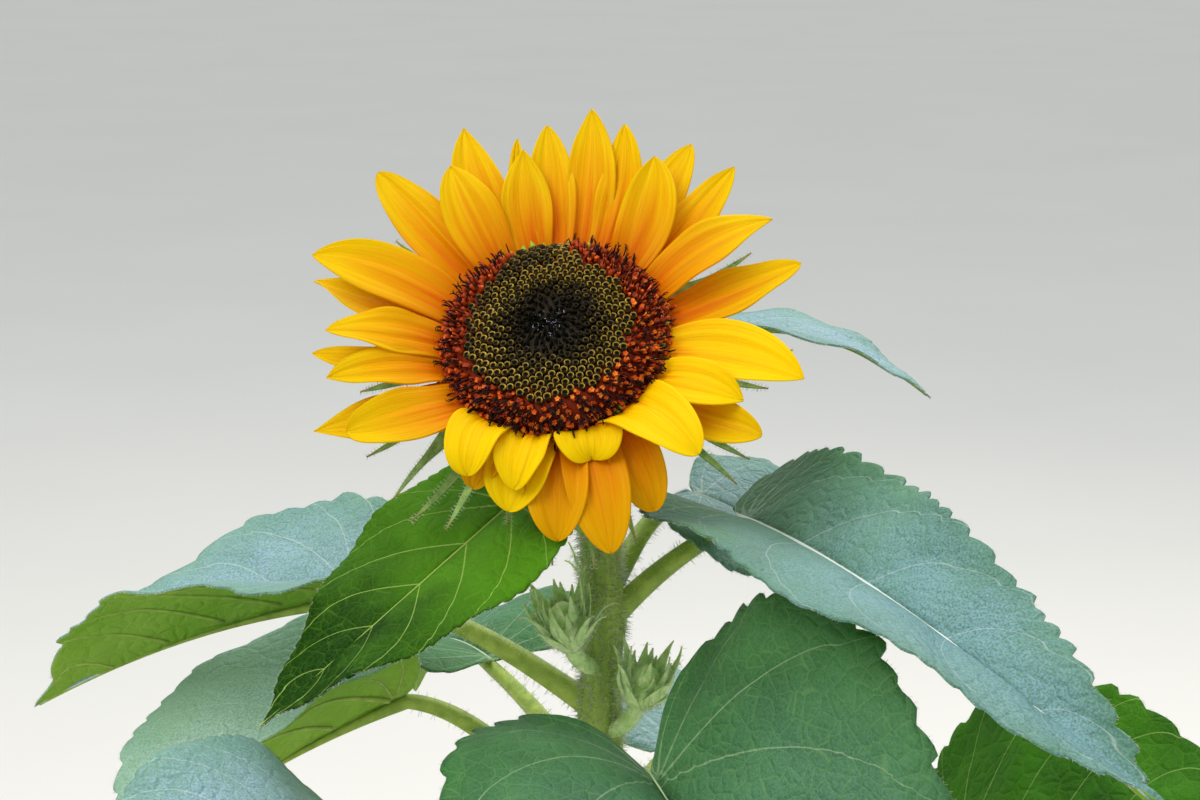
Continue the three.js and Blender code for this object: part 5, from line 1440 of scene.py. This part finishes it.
# The halves of the first nine leaves, those that the photograph shows, have more than the rest
edges, ways = [], []
for margin, out in leaf_margins:
    amount = MARGIN_HAIRS if len(edges) < DENSE_HALVES else SPARSE_MARGIN_HAIRS
    share = rng.random(amount) * (len(margin) - 1)
    low = share.astype(int)
    mix = (share - low)[:, None]
    edges.append(margin[low] * (1 - mix) + margin[low + 1] * mix)
    ways.append(unit(out[low] + rng.normal(0, 0.35, (amount, 3))))
edges, ways = np.concatenate(edges), np.concatenate(ways)
bristles("leaf_margin_hairs", edges, ways, rng.uniform(0.5, 1.4, len(edges)), 0.2, rng, "leaf")

# %% Bristles on bracts and buds
BRACT_HAIRS, BRACT_EDGE_HAIRS, BUD_HAIRS = 2400, 5200, 3600
on_bract, bract_normals = spots_on(*join(bract_shapes), BRACT_HAIRS, rng)
edge = np.concatenate([np.concatenate([grid[:, 0], grid[:, -1]]) for grid, _ in bract_edges])
edge_way = np.concatenate([np.concatenate([side, -side]) for _, side in bract_edges])
pick = rng.integers(0, len(edge), BRACT_EDGE_HAIRS)
places = np.concatenate([on_bract, edge[pick]])
normals = np.concatenate([bract_normals, edge_way[pick]])
bristles("bract_bristles", places, normals, rng.uniform(0.5, 1.6, len(places)), 0.3, rng, "bracts")

places, normals = spots_off_stem(bud_surfaces, BUD_HAIRS, rng)
bristles("bud_bristles", places, normals, rng.uniform(0.6, 2.3, len(places)), 0.3, rng, "bud")

# %% [markdown]
# ## Floor and light
# The plant stands on a plain pale floor that reaches past the far edge of the picture. A soft lamp
# at the upper left in front is the main light. A wide one hangs overhead, a third shines through
# the petals from behind and above, and an even pale surround softens all shadows.

# %% Floor
material, tree, output = new_material("floor_plaster")
place = add_node(tree, "ShaderNodeTexCoord").outputs["Object"]
cloud = add_node(tree, "ShaderNodeTexNoise", {"Vector": place, "Scale": 3.0, "Detail": 4.0})
tone = add_node(tree, "ShaderNodeValToRGB", {"Fac": cloud}, stops=[(0.3, "e0ddd6"), (0.7, "e3e0d9")])
plaster = add_node(tree, "ShaderNodeBsdfPrincipled", {"Base Color": tone, "Roughness": 0.8, "IOR": 1.5})
tree.links.new(plaster.outputs[0], output.inputs["Surface"])
floor_corners = [(-20, -8, 0), (20, -8, 0), (20, 32, 0), (-20, 32, 0)]
floor_mesh = bpy.data.meshes.new("floor")
floor_mesh.from_pydata(floor_corners, [], [(0, 1, 2, 3)])
floor_mesh.materials.append(material)
floor = bpy.data.objects.new("floor", floor_mesh)
bpy.context.scene.collection.objects.link(floor)
print("floor corners in metres:", floor_corners)

# %% Lamps
def softbox(name, place, target, size, power, colour):
    """A square area lamp that faces its target."""
    lamp = bpy.data.objects.new(name, bpy.data.lights.new(name, "AREA"))
    lamp.data.size = size
    lamp.data.energy = power
    lamp.data.color = rgb(colour)[:3]
    lamp.location = place
    way = np.array(place) - np.array(target)
    lamp.rotation_euler = (np.arccos(way[2] / np.linalg.norm(way)), 0, np.arctan2(way[0], -way[1]))
    bpy.context.scene.collection.objects.link(lamp)


softbox("key", (-0.8, -0.8, 1.6), (0, 0, 0.42), 0.9, 13, "fff6ea")
softbox("overhead", (0.1, 0.2, 2.3), (0, 0, 0.4), 2.2, 22, "f6f8ff")
softbox("back", (0.6, 1.1, 1.4), (0, 0, 0.45), 0.8, 8, "fff8ee")
print("lamps:", [lamp.name for lamp in bpy.data.lights])
world = bpy.data.worlds.new("surround")
bpy.context.scene.world = world
world.use_nodes = True
world.node_tree.nodes.clear()
sky = add_node(world.node_tree, "ShaderNodeBackground", {"Color": rgb("eaf0f4"), "Strength": 0.82})
sky_output = add_node(world.node_tree, "ShaderNodeOutputWorld")
world.node_tree.links.new(sky.outputs[0], sky_output.inputs["Surface"])
bpy.context.scene.view_settings.view_transform = "Standard"
